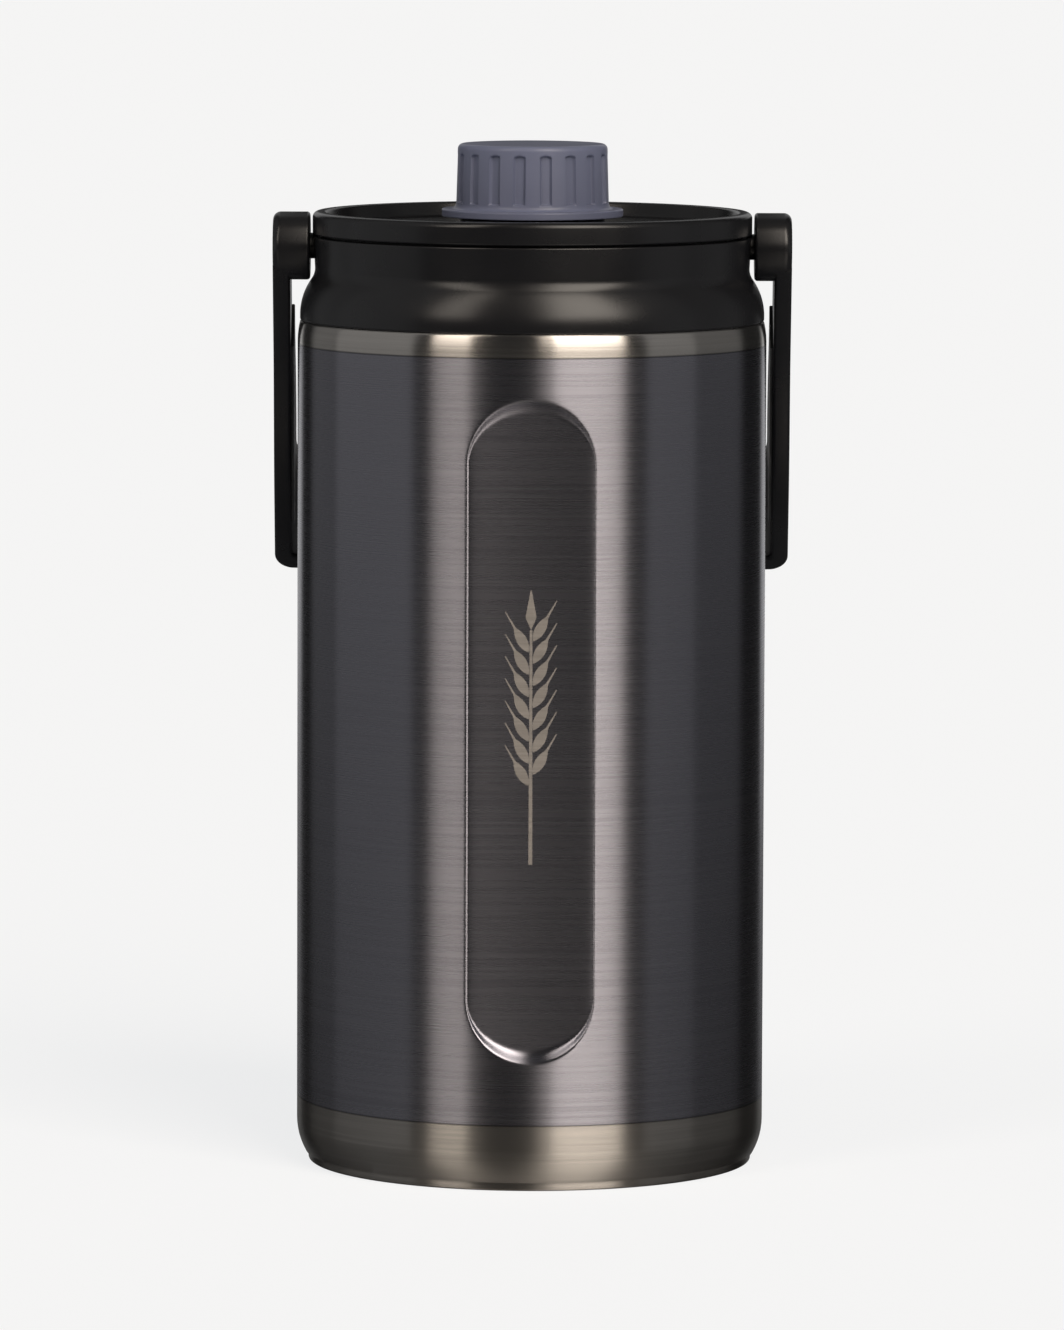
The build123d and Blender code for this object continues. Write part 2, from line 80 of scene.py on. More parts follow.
def rounded_path(corners: Sequence[Corner], closed: bool = True, turn: float = 7.0) -> list[Point]:
    """Follows a polygon and rounds the corners that have a radius.

    Args:
        corners: (x, y) or (x, y, radius), in millimetres.
        closed: whether the last corner joins the first.
        turn: the most that two neighbouring sides of an arc differ, in degrees.

    Returns:
        The points of the outline, in order.
    """
    count = len(corners)
    path: list[Point] = []
    for i, corner in enumerate(corners):
        point = Vector(corner[:2])
        radius = corner[2] if len(corner) > 2 else 0.0
        if not radius or (not closed and i in (0, count - 1)):
            path.append((point.x, point.y))
            continue
        back = (Vector(corners[i - 1][:2]) - point).normalized()
        ahead = (Vector(corners[(i + 1) % count][:2]) - point).normalized()
        half = back.angle(ahead) / 2
        centre = point + (back + ahead).normalized() * (radius / math.sin(half))
        start = point + back * (radius / math.tan(half)) - centre
        end = point + ahead * (radius / math.tan(half)) - centre
        sweep = math.atan2(start.x * end.y - start.y * end.x, start.dot(end))
        steps = max(2, math.ceil(abs(math.degrees(sweep)) / turn))
        first = math.atan2(start.y, start.x)
        for k in range(steps + 1):
            angle = first + sweep * k / steps
            path.append((centre.x + radius * math.cos(angle), centre.y + radius * math.sin(angle)))
    return path


def divided(path: Sequence[Point], longest: float) -> list[Point]:
    """Adds points to an open path so that no run is longer than longest.

    Args:
        path: the open path.
        longest: the longest run allowed, in millimetres.

    Returns:
        The path with its added points.
    """
    out = [path[0]]
    for a, b in zip(path, path[1:]):
        steps = max(1, math.ceil(math.dist(a, b) / longest))
        for k in range(1, steps + 1):
            out.append((a[0] + (b[0] - a[0]) * k / steps, a[1] + (b[1] - a[1]) * k / steps))
    return out


# ----------------------------------------------------------------------------- meshes


def new_object(name: str, mesh: bpy.types.Mesh) -> bpy.types.Object:
    """Links a new object that holds the mesh.

    Args:
        name: its name.
        mesh: its mesh.

    Returns:
        The new object.
    """
    obj = bpy.data.objects.new(name, mesh)
    bpy.context.scene.collection.objects.link(obj)
    return obj


def mesh_object(
    name: str, points: Sequence[Sequence[float]], faces: Sequence[Sequence[int]], sharp: float = 35.0
) -> bpy.types.Object:
    """Makes a smooth-shaded object of points in millimetres.

    Args:
        name: the piece's name.
        points: its vertices.
        faces: vertex numbers of its faces.
        sharp: edges that turn by more than this many degrees stay sharp.

    Returns:
        The new object.
    """
    mesh = bpy.data.meshes.new(name)
    mesh.from_pydata([[c * MM for c in p] for p in points], [], faces)
    clean(mesh)
    mesh.shade_smooth()
    mesh.set_sharp_from_angle(angle=math.radians(sharp))
    return new_object(name, mesh)


def clean(mesh: bpy.types.Mesh, merge: float = 0.002) -> None:
    """Merges doubles and turns every face outwards.

    Args:
        mesh: the mesh, changed in place.
        merge: points closer than this are merged, in millimetres.
    """
    work = bmesh.new()
    work.from_mesh(mesh)
    bmesh.ops.remove_doubles(work, verts=work.verts, dist=merge * MM)
    bmesh.ops.dissolve_degenerate(work, edges=work.edges, dist=merge * MM / 4)
    bmesh.ops.recalc_face_normals(work, faces=work.faces)
    work.to_mesh(mesh)
    work.free()


def lathe(name: str, outline: Sequence[Point], segments: int = 192, sharp: float = 35.0) -> bpy.types.Object:
    """Turns a closed outline of (radius, height) about Z into a closed mesh.

    Args:
        name: its name.
        outline: (radius, height) points, in order, in millimetres.
        segments: number of steps round the axis.
        sharp: edges that turn by more than this many degrees stay sharp.

    Returns:
        The new object.
    """
    rings = len(outline)
    points, faces = [], []
    for s in range(segments):
        c, w = math.cos(2 * math.pi * s / segments), math.sin(2 * math.pi * s / segments)
        points += [(r * c, r * w, z) for r, z in outline]
    for s in range(segments):
        here, there = s * rings, (s + 1) % segments * rings
        for k in range(rings):
            n = (k + 1) % rings
            if max(outline[k][0], outline[n][0]) > 1e-6:
                faces.append((here + k, there + k, there + n, here + n))
    return mesh_object(name, points, faces, sharp)


def joined(name: str, parts: Sequence[bpy.types.Object]) -> bpy.types.Object:
    """Joins separate shells of one piece into one object.

    Args:
        name: its name.
        parts: the shells, which are removed.

    Returns:
        The one object that is left.
    """
    work = bmesh.new()
    for part in parts:
        work.from_mesh(part.data)
    mesh = bpy.data.meshes.new(name)
    work.to_mesh(mesh)
    work.free()
    for part in parts:
        bpy.data.objects.remove(part)
    return new_object(name, mesh)


def placed(obj: bpy.types.Object, matrix: Matrix) -> bpy.types.Object:
    """Puts a turn or a shift into the mesh, so that the object stays at the origin.

    Args:
        obj: the object.
        matrix: the turn or shift.

    Returns:
        The same object.
    """
    obj.data.transform(matrix)
    if matrix.determinant() < 0:
        obj.data.flip_normals()
    return obj


def applied(obj: bpy.types.Object) -> bpy.types.Object:
    """Replaces an object's mesh by what its modifiers make of it, and removes them.

    Args:
        obj: the object.

    Returns:
        The same object.
    """
    graph = bpy.context.evaluated_depsgraph_get()
    mesh = bpy.data.meshes.new_from_object(obj.evaluated_get(graph))
    mesh.name = obj.name
    obj.modifiers.clear()
    obj.data = mesh
    return obj


def boolean(
    obj: bpy.types.Object, tool: bpy.types.Object, operation: str, sharp: float = 35.0
) -> bpy.types.Object:
    """Joins, cuts or intersects two closed meshes, and removes the tool.

    Args:
        obj: the mesh that is changed.
        tool: the other mesh.
        operation: UNION, DIFFERENCE or INTERSECT.
        sharp: edges that turn by more than this many degrees stay sharp.

    Returns:
        The changed object.
    """
    mod = obj.modifiers.new("join", "BOOLEAN")
    mod.operation, mod.solver, mod.object = operation, "EXACT", tool
    applied(obj)
    bpy.data.objects.remove(tool)
    clean(obj.data)
    obj.data.shade_smooth()
    obj.data.set_sharp_from_angle(angle=math.radians(sharp))
    return obj


# --------------------------------------------------------------------- geometry nodes


class NodeTree:
    """A node tree under construction, with one call that adds a node with its settings and links."""

    def __init__(self, tree: bpy.types.NodeTree) -> None:
        """Wraps an empty tree."""
        self.tree = tree

    def add(self, kind: str, inputs: dict | None = None, **settings: object) -> bpy.types.Node:
        """Adds a node.

        Args:
            kind: the node's type name.
            inputs: values or output sockets, by the input's name or number.
            settings: properties of the node.

        Returns:
            The new node.
        """
        node = self.tree.nodes.new(kind)
        for key, value in settings.items():
            setattr(node, key, value)
        for key, value in (inputs or {}).items():
            socket = node.inputs[key]
            if isinstance(value, bpy.types.NodeSocket):
                self.tree.links.new(value, socket)
            else:
                socket.default_value = value
        return node

    def math(self, operation: str, *values: object, clamp: bool = False) -> bpy.types.NodeSocket:
        """Adds a Math node on two or three values and returns its output.

        Args:
            operation: the node's operation.
            values: its two or three values.
            clamp: whether the result is kept from 0 to 1.

        Returns:
            The node's output.
        """
        node = self.add("ShaderNodeMath", dict(enumerate(values)), operation=operation)
        node.use_clamp = clamp
        return node.outputs[0]


class GeometryTree(NodeTree):
    """A Geometry Nodes tree with named inputs."""

    def __init__(self, name: str, inputs: dict[str, float]) -> None:
        """Makes the tree and its named inputs.

        Args:
            name: its name.
            inputs: its named inputs and their values.
        """
        super().__init__(bpy.data.node_groups.new(name, "GeometryNodeTree"))
        face = self.tree.interface
        face.new_socket("Geometry", in_out="INPUT", socket_type="NodeSocketGeometry")
        for label, value in inputs.items():
            kind = "NodeSocketInt" if isinstance(value, int) else "NodeSocketFloat"
            face.new_socket(label, in_out="INPUT", socket_type=kind).default_value = value
        face.new_socket("Geometry", in_out="OUTPUT", socket_type="NodeSocketGeometry")
        self.source = self.tree.nodes.new("NodeGroupInput")
        self.values = inputs

    def value(self, label: str) -> bpy.types.NodeSocket:
        """Output socket of a named input."""
        return self.source.outputs[label]

    def end(self, geometry: bpy.types.NodeSocket, material: bpy.types.Material) -> None:
        """Realizes instances, sets the material and ends the tree.

        Args:
            geometry: the geometry before instances are realized.
            material: its finish.
        """
        real = self.add("GeometryNodeRealizeInstances", {0: geometry})
        dressed = self.add("GeometryNodeSetMaterial", {0: real.outputs[0], "Material": material})
        self.add("NodeGroupOutput", {0: dressed.outputs[0]})

    def run(self, obj: bpy.types.Object) -> bpy.types.Object:
        """Runs the tree on an object and leaves a plain mesh.

        Args:
            obj: the object.

        Returns:
            The same object, with its mesh made plain.
        """
        mod = obj.modifiers.new(self.tree.name, "NODES")
        mod.node_group = self.tree
        for item in self.tree.interface.items_tree:
            if item.in_out == "INPUT" and item.name in self.values:
                mod[item.identifier] = self.values[item.name]
        return applied(obj)


# -------------------------------------------------------------------------- materials


def linear(code: str) -> tuple[float, float, float, float]:
    """Turns an sRGB hex colour, such as 8a8f99, into linear red, green, blue and alpha."""
    parts = [int(code[i:i + 2], 16) / 255 for i in (0, 2, 4)]
    return (*(p / 12.92 if p <= 0.04045 else ((p + 0.055) / 1.055) ** 2.4 for p in parts), 1.0)


class Finish(NodeTree):
    """A material under construction: a Principled shader that reads Object coordinates."""

    def __init__(self, name: str, **sockets: object) -> None:
        """Makes the material and sets its plain values.

        Args:
            name: its name.
            sockets: values for the shader's inputs.
        """
        self.material = bpy.data.materials.new(name)
        self.material.use_nodes = True
        super().__init__(self.material.node_tree)
        self.shader = self.tree.nodes["Principled BSDF"]
        for key, value in sockets.items():
            self.shader.inputs[key.replace("_", " ")].default_value = value
        self.place = self.add("ShaderNodeTexCoord").outputs["Object"]

    def feed(self, socket: str, value: bpy.types.NodeSocket) -> None:
        """Links a value into one of the shader's sockets."""
        self.tree.links.new(value, self.shader.inputs[socket])

    def stretched(self, x: float, y: float, z: float) -> bpy.types.NodeSocket:
        """Object coordinates, scaled to repeats per metre along each axis."""
        return self.add("ShaderNodeMapping", {"Vector": self.place, "Scale": (x, y, z)}).outputs[0]

    def noise(
        self, where: bpy.types.NodeSocket, detail: float = 4.0, roughness: float = 0.5
    ) -> bpy.types.NodeSocket:
        """Noise from 0 to 1 at the given place.

        Args:
            where: coordinates to read.
            detail: octaves of the noise.
            roughness: how strong each octave is beside the one before.

        Returns:
            The noise.
        """
        node = self.add(
            "ShaderNodeTexNoise", {"Vector": where, "Scale": 1.0, "Detail": detail, "Roughness": roughness}
        )
        return node.outputs[0]

    def between(self, value: bpy.types.NodeSocket, low: float, high: float) -> bpy.types.NodeSocket:
        """Spreads the middle of a noise, 0.3 to 0.7, over low to high."""
        node = self.add("ShaderNodeMapRange", {0: value, 1: 0.3, 2: 0.7, 3: low, 4: high})
        return node.outputs[0]

    def mixed(self, share: object, first: object, second: object) -> bpy.types.NodeSocket:
        """Mixes two colours.

        Args:
            share: how much of the second colour shows.
            first: the first colour.
            second: the second colour.

        Returns:
            The mixed colour.
        """
        node = self.add("ShaderNodeMix", data_type="RGBA")
        for number, value in ((0, share), (6, first), (7, second)):
            if isinstance(value, bpy.types.NodeSocket):
                self.tree.links.new(value, node.inputs[number])
            else:
                node.inputs[number].default_value = value
        return node.outputs[2]

    def bump(self, height: bpy.types.NodeSocket, depth: float, strength: float = 1.0) -> None:
        """Raises the surface by depth millimetres where height is 1."""
        node = self.add("ShaderNodeBump", {"Height": height, "Distance": depth * MM, "Strength": strength})
        self.feed("Normal", node.outputs[0])


@dataclass(frozen=True)
class BrushedSteel:
    """Stainless steel 304, brushed round its axis with a fine belt.

    The brushing draws a lamp's reflection out along the axis and leaves fine rings.
    """

    name: str = "brushed_stainless"
    colour: str = "c1bcb7"
    roughness: float = 0.22
    anisotropy: float = 1.0
    rings_per_mm: float = 1.6   # real brush lines are 0.05 mm apart; drawn coarser so that they show
    line_depth: float = 0.002   # millimetres
    axis: str = "Z"
    pale: str = "d5d0ca"
    run_per_metre: float = 9.0  # a brush line runs about 110 mm round the axis
    cloud_per_metre: tuple[float, float, float] = (22.0, 22.0, 9.0)    # faint patches, 45 by 110 mm

    def base(self) -> Finish:
        """The steel's shader with its tangent and brush lines.

        Returns:
            The finish, still to be coloured.
        """
        finish = Finish(self.name, Metallic=1.0, Anisotropic=self.anisotropy, Anisotropic_Rotation=0.25)
        tangent = finish.add("ShaderNodeTangent", direction_type="RADIAL", axis=self.axis)
        finish.feed("Tangent", tangent.outputs[0])
        return finish

    def lines(self, finish: Finish) -> bpy.types.NodeSocket:
        """Brush lines: noise that is long round the axis and short along it."""
        run, along = self.run_per_metre, self.rings_per_mm / MM
        return finish.noise(finish.stretched(run, run, along), detail=5.0, roughness=0.7)

    def build(self) -> bpy.types.Material:
        """Finishes the bare steel.

        Returns:
            The finished material.
        """
        finish = self.base()
        lines = self.lines(finish)
        cloud = finish.noise(finish.stretched(*self.cloud_per_metre), detail=3.0)
        low, high = linear(self.colour), linear(self.pale)
        finish.feed("Base Color", finish.mixed(finish.between(lines, 0.2, 0.8), low, high))
        grain = finish.math("MULTIPLY_ADD", finish.between(lines, -0.05, 0.05), 1.0, self.roughness)
        finish.feed("Roughness", finish.math("MULTIPLY_ADD", finish.between(cloud, -0.02, 0.02), 1.0, grain))
        finish.bump(lines, self.line_depth)
        return finish.material


@dataclass(frozen=True)
class LacqueredSteel(BrushedSteel):
    """Brushed steel under a translucent charcoal lacquer, masked off at both ends.

    The lacquer darkens the metal and adds a thin clear gloss; the masked bands stay bare.
    """

    name: str = "charcoal_lacquered_stainless"
    lacquer: str = "9b9aa3"
    low_z: float = 17.0
    high_z: float = 210.5
    edge: float = 0.35          # half the width of the dark line where the lacquer ends
    lacquer_pale: str = "a2a1aa"
    line_colour: str = "2b2b2e"
    line_share: float = 0.75

    def build(self) -> bpy.types.Material:
        """Finishes the lacquered steel with its bare bands.

        Returns:
            The finished material.
        """
        finish = self.base()
        lines = self.lines(finish)
        split = finish.add("ShaderNodeSeparateXYZ", {0: finish.place})
        height = finish.math("MULTIPLY", split.outputs[2], 1 / MM)
        above = finish.math("SUBTRACT", height, self.low_z)
        below = finish.math("SUBTRACT", self.high_z, height)
        inside = finish.math("MINIMUM", above, below)
        coated = finish.math("MULTIPLY_ADD", inside, 1 / (self.edge * 0.3), 0.5, clamp=True)
        off = finish.math("DIVIDE", finish.math("ABSOLUTE", inside), self.edge)
        rim = finish.math("SUBTRACT", 1.0, off, clamp=True)
        spread = finish.between(lines, 0.0, 1.0)
        bare = finish.mixed(spread, linear(self.colour), linear(self.pale))
        film = finish.mixed(spread, linear(self.lacquer), linear(self.lacquer_pale))
        both = finish.mixed(coated, bare, film)
        share = finish.math("MULTIPLY", rim, self.line_share)
        finish.feed("Base Color", finish.mixed(share, both, linear(self.line_colour)))
        grain = finish.between(lines, self.roughness - 0.02, self.roughness + 0.03)
        finish.feed("Roughness", finish.math("MULTIPLY_ADD", coated, 0.05, grain))
        finish.bump(lines, self.line_depth)
        return finish.material


@dataclass(frozen=True)
class MouldedPlastic:
    """Polypropylene moulded against a fine spark-eroded tool: a soft, slightly grained sheen."""

    name: str
    colour: str
    worn: str
    roughness: float = 0.42
    grain_per_mm: float = 1.4   # the tool's texture is 0.2 mm; drawn coarser so that it shows
    grain_depth: float = 0.012
    cloud_per_metre: float = 40.0   # worn patches of about 25 mm

    def build(self) -> bpy.types.Material:
        """Finishes the plastic.

        Returns:
            The finished material.
        """
        finish = Finish(self.name, IOR=1.49)
        scale = self.grain_per_mm / MM
        grain = finish.noise(finish.stretched(scale, scale, scale), detail=3.0, roughness=0.6)
        patches = self.cloud_per_metre
        cloud = finish.noise(finish.stretched(patches, patches, patches), detail=4.0)
        share = finish.between(cloud, 0.0, 1.0)
        finish.feed("Base Color", finish.mixed(share, linear(self.colour), linear(self.worn)))
        finish.feed("Roughness", finish.between(cloud, self.roughness - 0.04, self.roughness + 0.04))
        finish.bump(grain, self.grain_depth)
        return finish.material


@dataclass(frozen=True)
class SoftRubber:
    """Thermoplastic elastomer or silicone: matt, with a faint sheen at grazing angles."""

    name: str
    colour: str
    dusty: str
    roughness: float = 0.62
    sheen: float = 0.25
    grain_per_metre: float = 2200.0     # a grain of about 0.45 mm
    grain_depth: float = 0.02
    cloud_per_metre: float = 60.0       # dusty patches of about 17 mm

    def build(self) -> bpy.types.Material:
        """Finishes the rubber.

        Returns:
            The finished material.
        """
        finish = Finish(self.name, IOR=1.43, Sheen_Weight=self.sheen, Sheen_Roughness=0.5)
        grains, patches = self.grain_per_metre, self.cloud_per_metre
        grain = finish.noise(finish.stretched(grains, grains, grains), detail=2.0)
        cloud = finish.noise(finish.stretched(patches, patches, patches), detail=3.0)
        share = finish.between(cloud, 0.0, 1.0)
        finish.feed("Base Color", finish.mixed(share, linear(self.colour), linear(self.dusty)))
        finish.feed("Roughness", finish.between(cloud, self.roughness - 0.05, self.roughness + 0.05))
        finish.bump(grain, self.grain_depth)
        return finish.material


@dataclass(frozen=True)
class Foam:
    """Rigid polyurethane foam: pale, with closed cells about half a millimetre across."""

    name: str = "polyurethane_foam"
    cell: float = 5 / 9         # millimetres
    cell_depth: float = 0.1
    colour: str = "d9cda4"
    pale: str = "efe6c8"

    def build(self) -> bpy.types.Material:
        """Finishes the foam.

        Returns:
            The finished material.
        """
        finish = Finish(self.name, Roughness=0.9, IOR=1.4)
        per_metre = 1 / (self.cell * MM)
        where = finish.stretched(per_metre, per_metre, per_metre)
        cells = finish.add("ShaderNodeTexVoronoi", {"Vector": where, "Scale": 1.0})
        finish.feed("Base Color", finish.mixed(cells.outputs[0], linear(self.colour), linear(self.pale)))
        finish.bump(cells.outputs[0], self.cell_depth)
        return finish.material


@dataclass(frozen=True)
class EtchedSteel:
    """Steel bared and frosted by a laser through the lacquer: pale, matt and a little warm."""

    name: str = "laser_etched_steel"
    colour: str = "857f79"
    pale: str = "9b948d"
    # The laser's lines are 0.05 mm apart; they are drawn 0.3 mm apart so that they show.
    hatch_per_metre: tuple[float, float, float] = (60.0, 60.0, 3200.0)

    def build(self) -> bpy.types.Material:
        """Finishes the etched mark.

        Returns:
            The finished material.
        """
        finish = Finish(self.name, Metallic=0.55)
        hatch = finish.noise(finish.stretched(*self.hatch_per_metre), detail=3.0, roughness=0.7)
        share = finish.between(hatch, 0.0, 1.0)
        finish.feed("Base Color", finish.mixed(share, linear(self.colour), linear(self.pale)))
        finish.feed("Roughness", finish.between(hatch, 0.5, 0.62))
        return finish.material


class Look(Enum):
    """The growler's finishes."""

    SHELL = LacqueredSteel()
    STEEL = BrushedSteel()
    PIN_STEEL = BrushedSteel(name="turned_stainless", axis="X", roughness=0.3)
    BLACK = MouldedPlastic("black_polypropylene", "111113", "151517", roughness=0.26)
    INNER_BLACK = MouldedPlastic("satin_black_polypropylene", "131315", "18181a", roughness=0.26)
    SLATE = MouldedPlastic("slate_polypropylene", "686d84", "6e738b", roughness=0.38, grain_depth=0.006)
    GRIP = SoftRubber("overmoulded_elastomer", "161617", "1c1c1d")
    SILICONE = SoftRubber("black_silicone", "1a1a1b", "212122", roughness=0.5)
    FOAM = Foam()
    ETCH = EtchedSteel()


class Wardrobe:
    """Makes each finish once, when it's first asked for."""

    def __init__(self) -> None:
        """Starts with no finish made."""
        self.made: dict[Look, bpy.types.Material] = {}

    def get(self, look: Look) -> bpy.types.Material:
        """The material of a finish.

        Args:
            look: the finish.

        Returns:
            The material, made on the first call.
        """
        if look not in self.made:
            self.made[look] = look.value.build()
        return self.made[look]

    def dress(self, obj: bpy.types.Object, look: Look) -> bpy.types.Object:
        """Gives an object one finish all over.

        Args:
            obj: the object.
            look: the finish.

        Returns:
            The same object.
        """
        obj.data.materials.clear()
        obj.data.materials.append(self.get(look))
        return obj


@dataclass
class Piece:
    """A finished piece and what the frame needs to know of it."""

    obj: bpy.types.Object
    body: str
    slot: str
    stands_for: tuple[str, ...] = ()

    def hand_over(self) -> None:
        """Ties the piece to its body, and hides the nodes that it stands for."""
        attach(self.obj, self.body)
        if self.stands_for:
            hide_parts(*self.stands_for)
        LOG.info("%s rides on %s: %d faces", self.obj.name, self.body, len(self.obj.data.polygons))


# ------------------------------------------------------------------------ steel vessel


@dataclass
class SteelVessel:
    """The double-walled vessel: shell with grip hollows, base, liner and neck thread."""

    wardrobe: Wardrobe
    body_r: float
    ledge_z: float
    steel: float = 0.6
    ledge_inset: float = 0.7
    ledge_width: float = 1.1
    neck_inset: float = 7.4
    neck_rise: float = 6.9
    mouth_z: float = 236.5
    lip_overhang: float = 1.1
    vacuum_gap: float = 4.6
    liner_floor_z: float = 8.0
    corner_z: float = 6.3
    corner_r: float = 17.0
    shell_edge_inset: float = 2.3
    foot_inset: float = 3.0
    foot_h: float = 2.2
    foot_width: float = 2.4
    hollow_w: float = 32.0
    hollow_low_z: float = 33.0
    hollow_high_z: float = 199.7
    hollow_side_step: float = 0.15  # from the skin down to the flat floor, at the hollow's sides
    hollow_slope: float = 1.2       # rise over run of the wall at the hollow's round ends
    hollow_dish: float = 0.22       # how much deeper its floor lies along the middle
    hollow_fold: float = 1.5        # half the height over which the floor turns up into the wall
    hollow_lip: float = 0.3         # how softly the skin rolls over into the hollow
    thread_lead: float = 12.0
    thread_h: float = 1.3
    thread_w: float = 1.7
    thread_z: float = 223.0
    thread_turns: float = 0.55
    thread_starts: int = 3
    weld_gap: float = 0.1

    @property
    def neck_r(self) -> float:
        """Outer radius of the steel neck."""
        return self.body_r - self.neck_inset

    @property
    def hollow_floor(self) -> float:
        """Distance from the axis to the flat floor of a hollow."""
        return math.sqrt(self.body_r ** 2 - (self.hollow_w / 2) ** 2) - self.hollow_side_step

    @property
    def hollow_depth(self) -> float:
        """Depth of a hollow at its middle."""
        return self.body_r - self.hollow_floor

    @property
    def mouth_r(self) -> float:
        """Bore of the mouth."""
        return self.neck_r - 2 * self.steel - self.weld_gap

    def shell_profile(self) -> list[Point]:
        """Outer skin of the shell, from its lower edge up to the top of the neck.

        Returns:
            Points of (radius, height), from the foot up.
        """
        ledge_r = self.body_r - self.ledge_inset - self.ledge_width
        return rounded_path([
            (self.body_r - self.shell_edge_inset, self.foot_h),
            (self.body_r, self.corner_z, self.corner_r),
            (self.body_r, self.ledge_z - 4 * self.ledge_inset, 20.0),
            (self.body_r - self.ledge_inset, self.ledge_z, 0.8),
            (ledge_r, self.ledge_z, 0.2),
            (ledge_r, self.ledge_z + self.ledge_width, 1.5),
            (self.neck_r, self.ledge_z + self.neck_rise, 3.0),
            (self.neck_r, self.mouth_z - self.steel),
        ], closed=False, turn=5.0)

    def skin_rows(self) -> list[Point]:
        """Profile points, close together where the hollows' round ends lie.

        Returns:
            Points of (radius, height), from the foot up.
        """
        end_r = self.hollow_w / 2 + 1.5
        rows = divided(self.shell_profile(), 5.0)
        low, high = self.hollow_low_z - 1.5, self.hollow_high_z + 1.5
        fine = [(low, low + end_r), (high - end_r, high)]
        rows = [p for p in rows if not any(a <= p[1] <= b for a, b in fine) or p[0] < self.body_r - 0.01]
        for a, b in fine:
            steps = round((b - a) / 0.3)
            rows += [(self.body_r, a + (b - a) * k / steps) for k in range(steps + 1)]
        return sorted(rows, key=lambda p: (p[1], -p[0]))

    def skin_angles(self) -> list[float]:
        """Columns round the body, close together across both hollows' edges.

        Returns:
            Angles in degrees, once round.
        """
        steps = (
            # from and to in millimetres across, and the columns' spacing in degrees
            (0.0, self.hollow_w / 2 - 4.6, 0.7),
            (self.hollow_w / 2 - 4.6, self.hollow_w / 2 - 1.6, 0.32),
            (self.hollow_w / 2 - 1.6, self.hollow_w / 2 + 0.9, 0.12),
            (self.hollow_w / 2 + 0.9, self.body_r, 1.9),
        )
        quarter = [0.0]
        for start, end, gap in steps:
            low, high = (math.degrees(math.asin(x / self.body_r)) for x in (start, end))
            count = math.ceil((high - low) / gap)
            quarter += [low + (high - low) * (k + 1) / count for k in range(count)]
        front = sorted({-a for a in quarter} | set(quarter))[1:]
        return front + [a + 180 for a in front]

    def hollow_wall(self, x: float, z: float) -> float:
        """Distance from the axis plane to the hollow's surface, or a large number outside it.

        Args:
            x: distance across, from the middle.
            z: height.

        Returns:
            Distance of the hollow's surface, in millimetres.
        """
        end_r = self.hollow_w / 2
        near = min(max(z, self.hollow_low_z + end_r), self.hollow_high_z - end_r)
        away = max(math.hypot(x, z - near), 1e-6)
        lip_h = math.sqrt(self.body_r ** 2 - (end_r * x / away) ** 2) - self.hollow_floor
        rise = lip_h - self.hollow_slope * (end_r - away)
        fold = self.hollow_fold * lip_h / self.hollow_depth
        floor = self.hollow_floor - self.hollow_dish * max(0.0, 1 - (x / end_r) ** 2)
        if rise <= -fold:
            return floor
        bend = rise if rise >= fold else (rise + fold) ** 2 / (4 * fold)
        return floor + bend

    def skin_point(self, radius: float, z: float, angle: float) -> tuple[float, float, float]:
        """A point of the shell's skin, pressed in where it lies in a hollow.

        Args:
            radius: distance of the unpressed skin from the axis.
            z: height.
            angle: degrees round the axis.

        Returns:
            The point's x, y and z.
        """
        x, y = radius * math.sin(math.radians(angle)), radius * math.cos(math.radians(angle))
        side = 1 if y > 0 else -1
        if abs(x) < self.hollow_w / 2 + 2 and self.hollow_low_z - 2 < z < self.hollow_high_z + 2:
            out, wall = abs(y), self.hollow_wall(x, z)
            soft = self.hollow_lip
            gap = wall - out
            out = 0.5 * (out + wall - math.sqrt(gap * gap + soft * soft)) + 0.5 * (
                math.sqrt(gap * gap + soft * soft) - abs(gap)) * min(1.0, abs(gap) / 3.0)
            y = side * out
        return x, y, z

    def build_shell(self) -> bpy.types.Object:
        """Closed mesh of the shell: a finely gridded skin and a plain inner wall.

        Returns:
            The new object.
        """
        rows, angles = self.skin_rows(), self.skin_angles()
        columns, count = len(angles), len(rows)
        points = [self.skin_point(r, z, a) for a in angles for r, z in rows]
        inner_r = self.body_r - self.hollow_depth - 2 * self.steel + 0.3
        neck_in = self.neck_r - self.steel
        wall = [
            (neck_in, rows[-1][1]), (neck_in, self.ledge_z + self.neck_rise), (inner_r, self.ledge_z + 1.0),
            (inner_r, self.corner_z + 6.0), (self.body_r - self.foot_inset, rows[0][1]),
        ]
        start = len(points)
        for a in angles:
            s, c = math.sin(math.radians(a)), math.cos(math.radians(a))
            points += [(r * s, r * c, z) for r, z in wall]
        faces = []
        for i in range(columns):
            j = (i + 1) % columns
            a, b = i * count, j * count
            faces += [(a + k, b + k, b + k + 1, a + k + 1) for k in range(count - 1)]
            c, d = start + i * len(wall), start + j * len(wall)
            faces += [(c + k, d + k, d + k + 1, c + k + 1) for k in range(len(wall) - 1)]
            faces.append((a + count - 1, b + count - 1, d, c))
            faces.append((c + len(wall) - 1, d + len(wall) - 1, b, a))
        return mesh_object("shell_skin", points, faces, sharp=40.0)

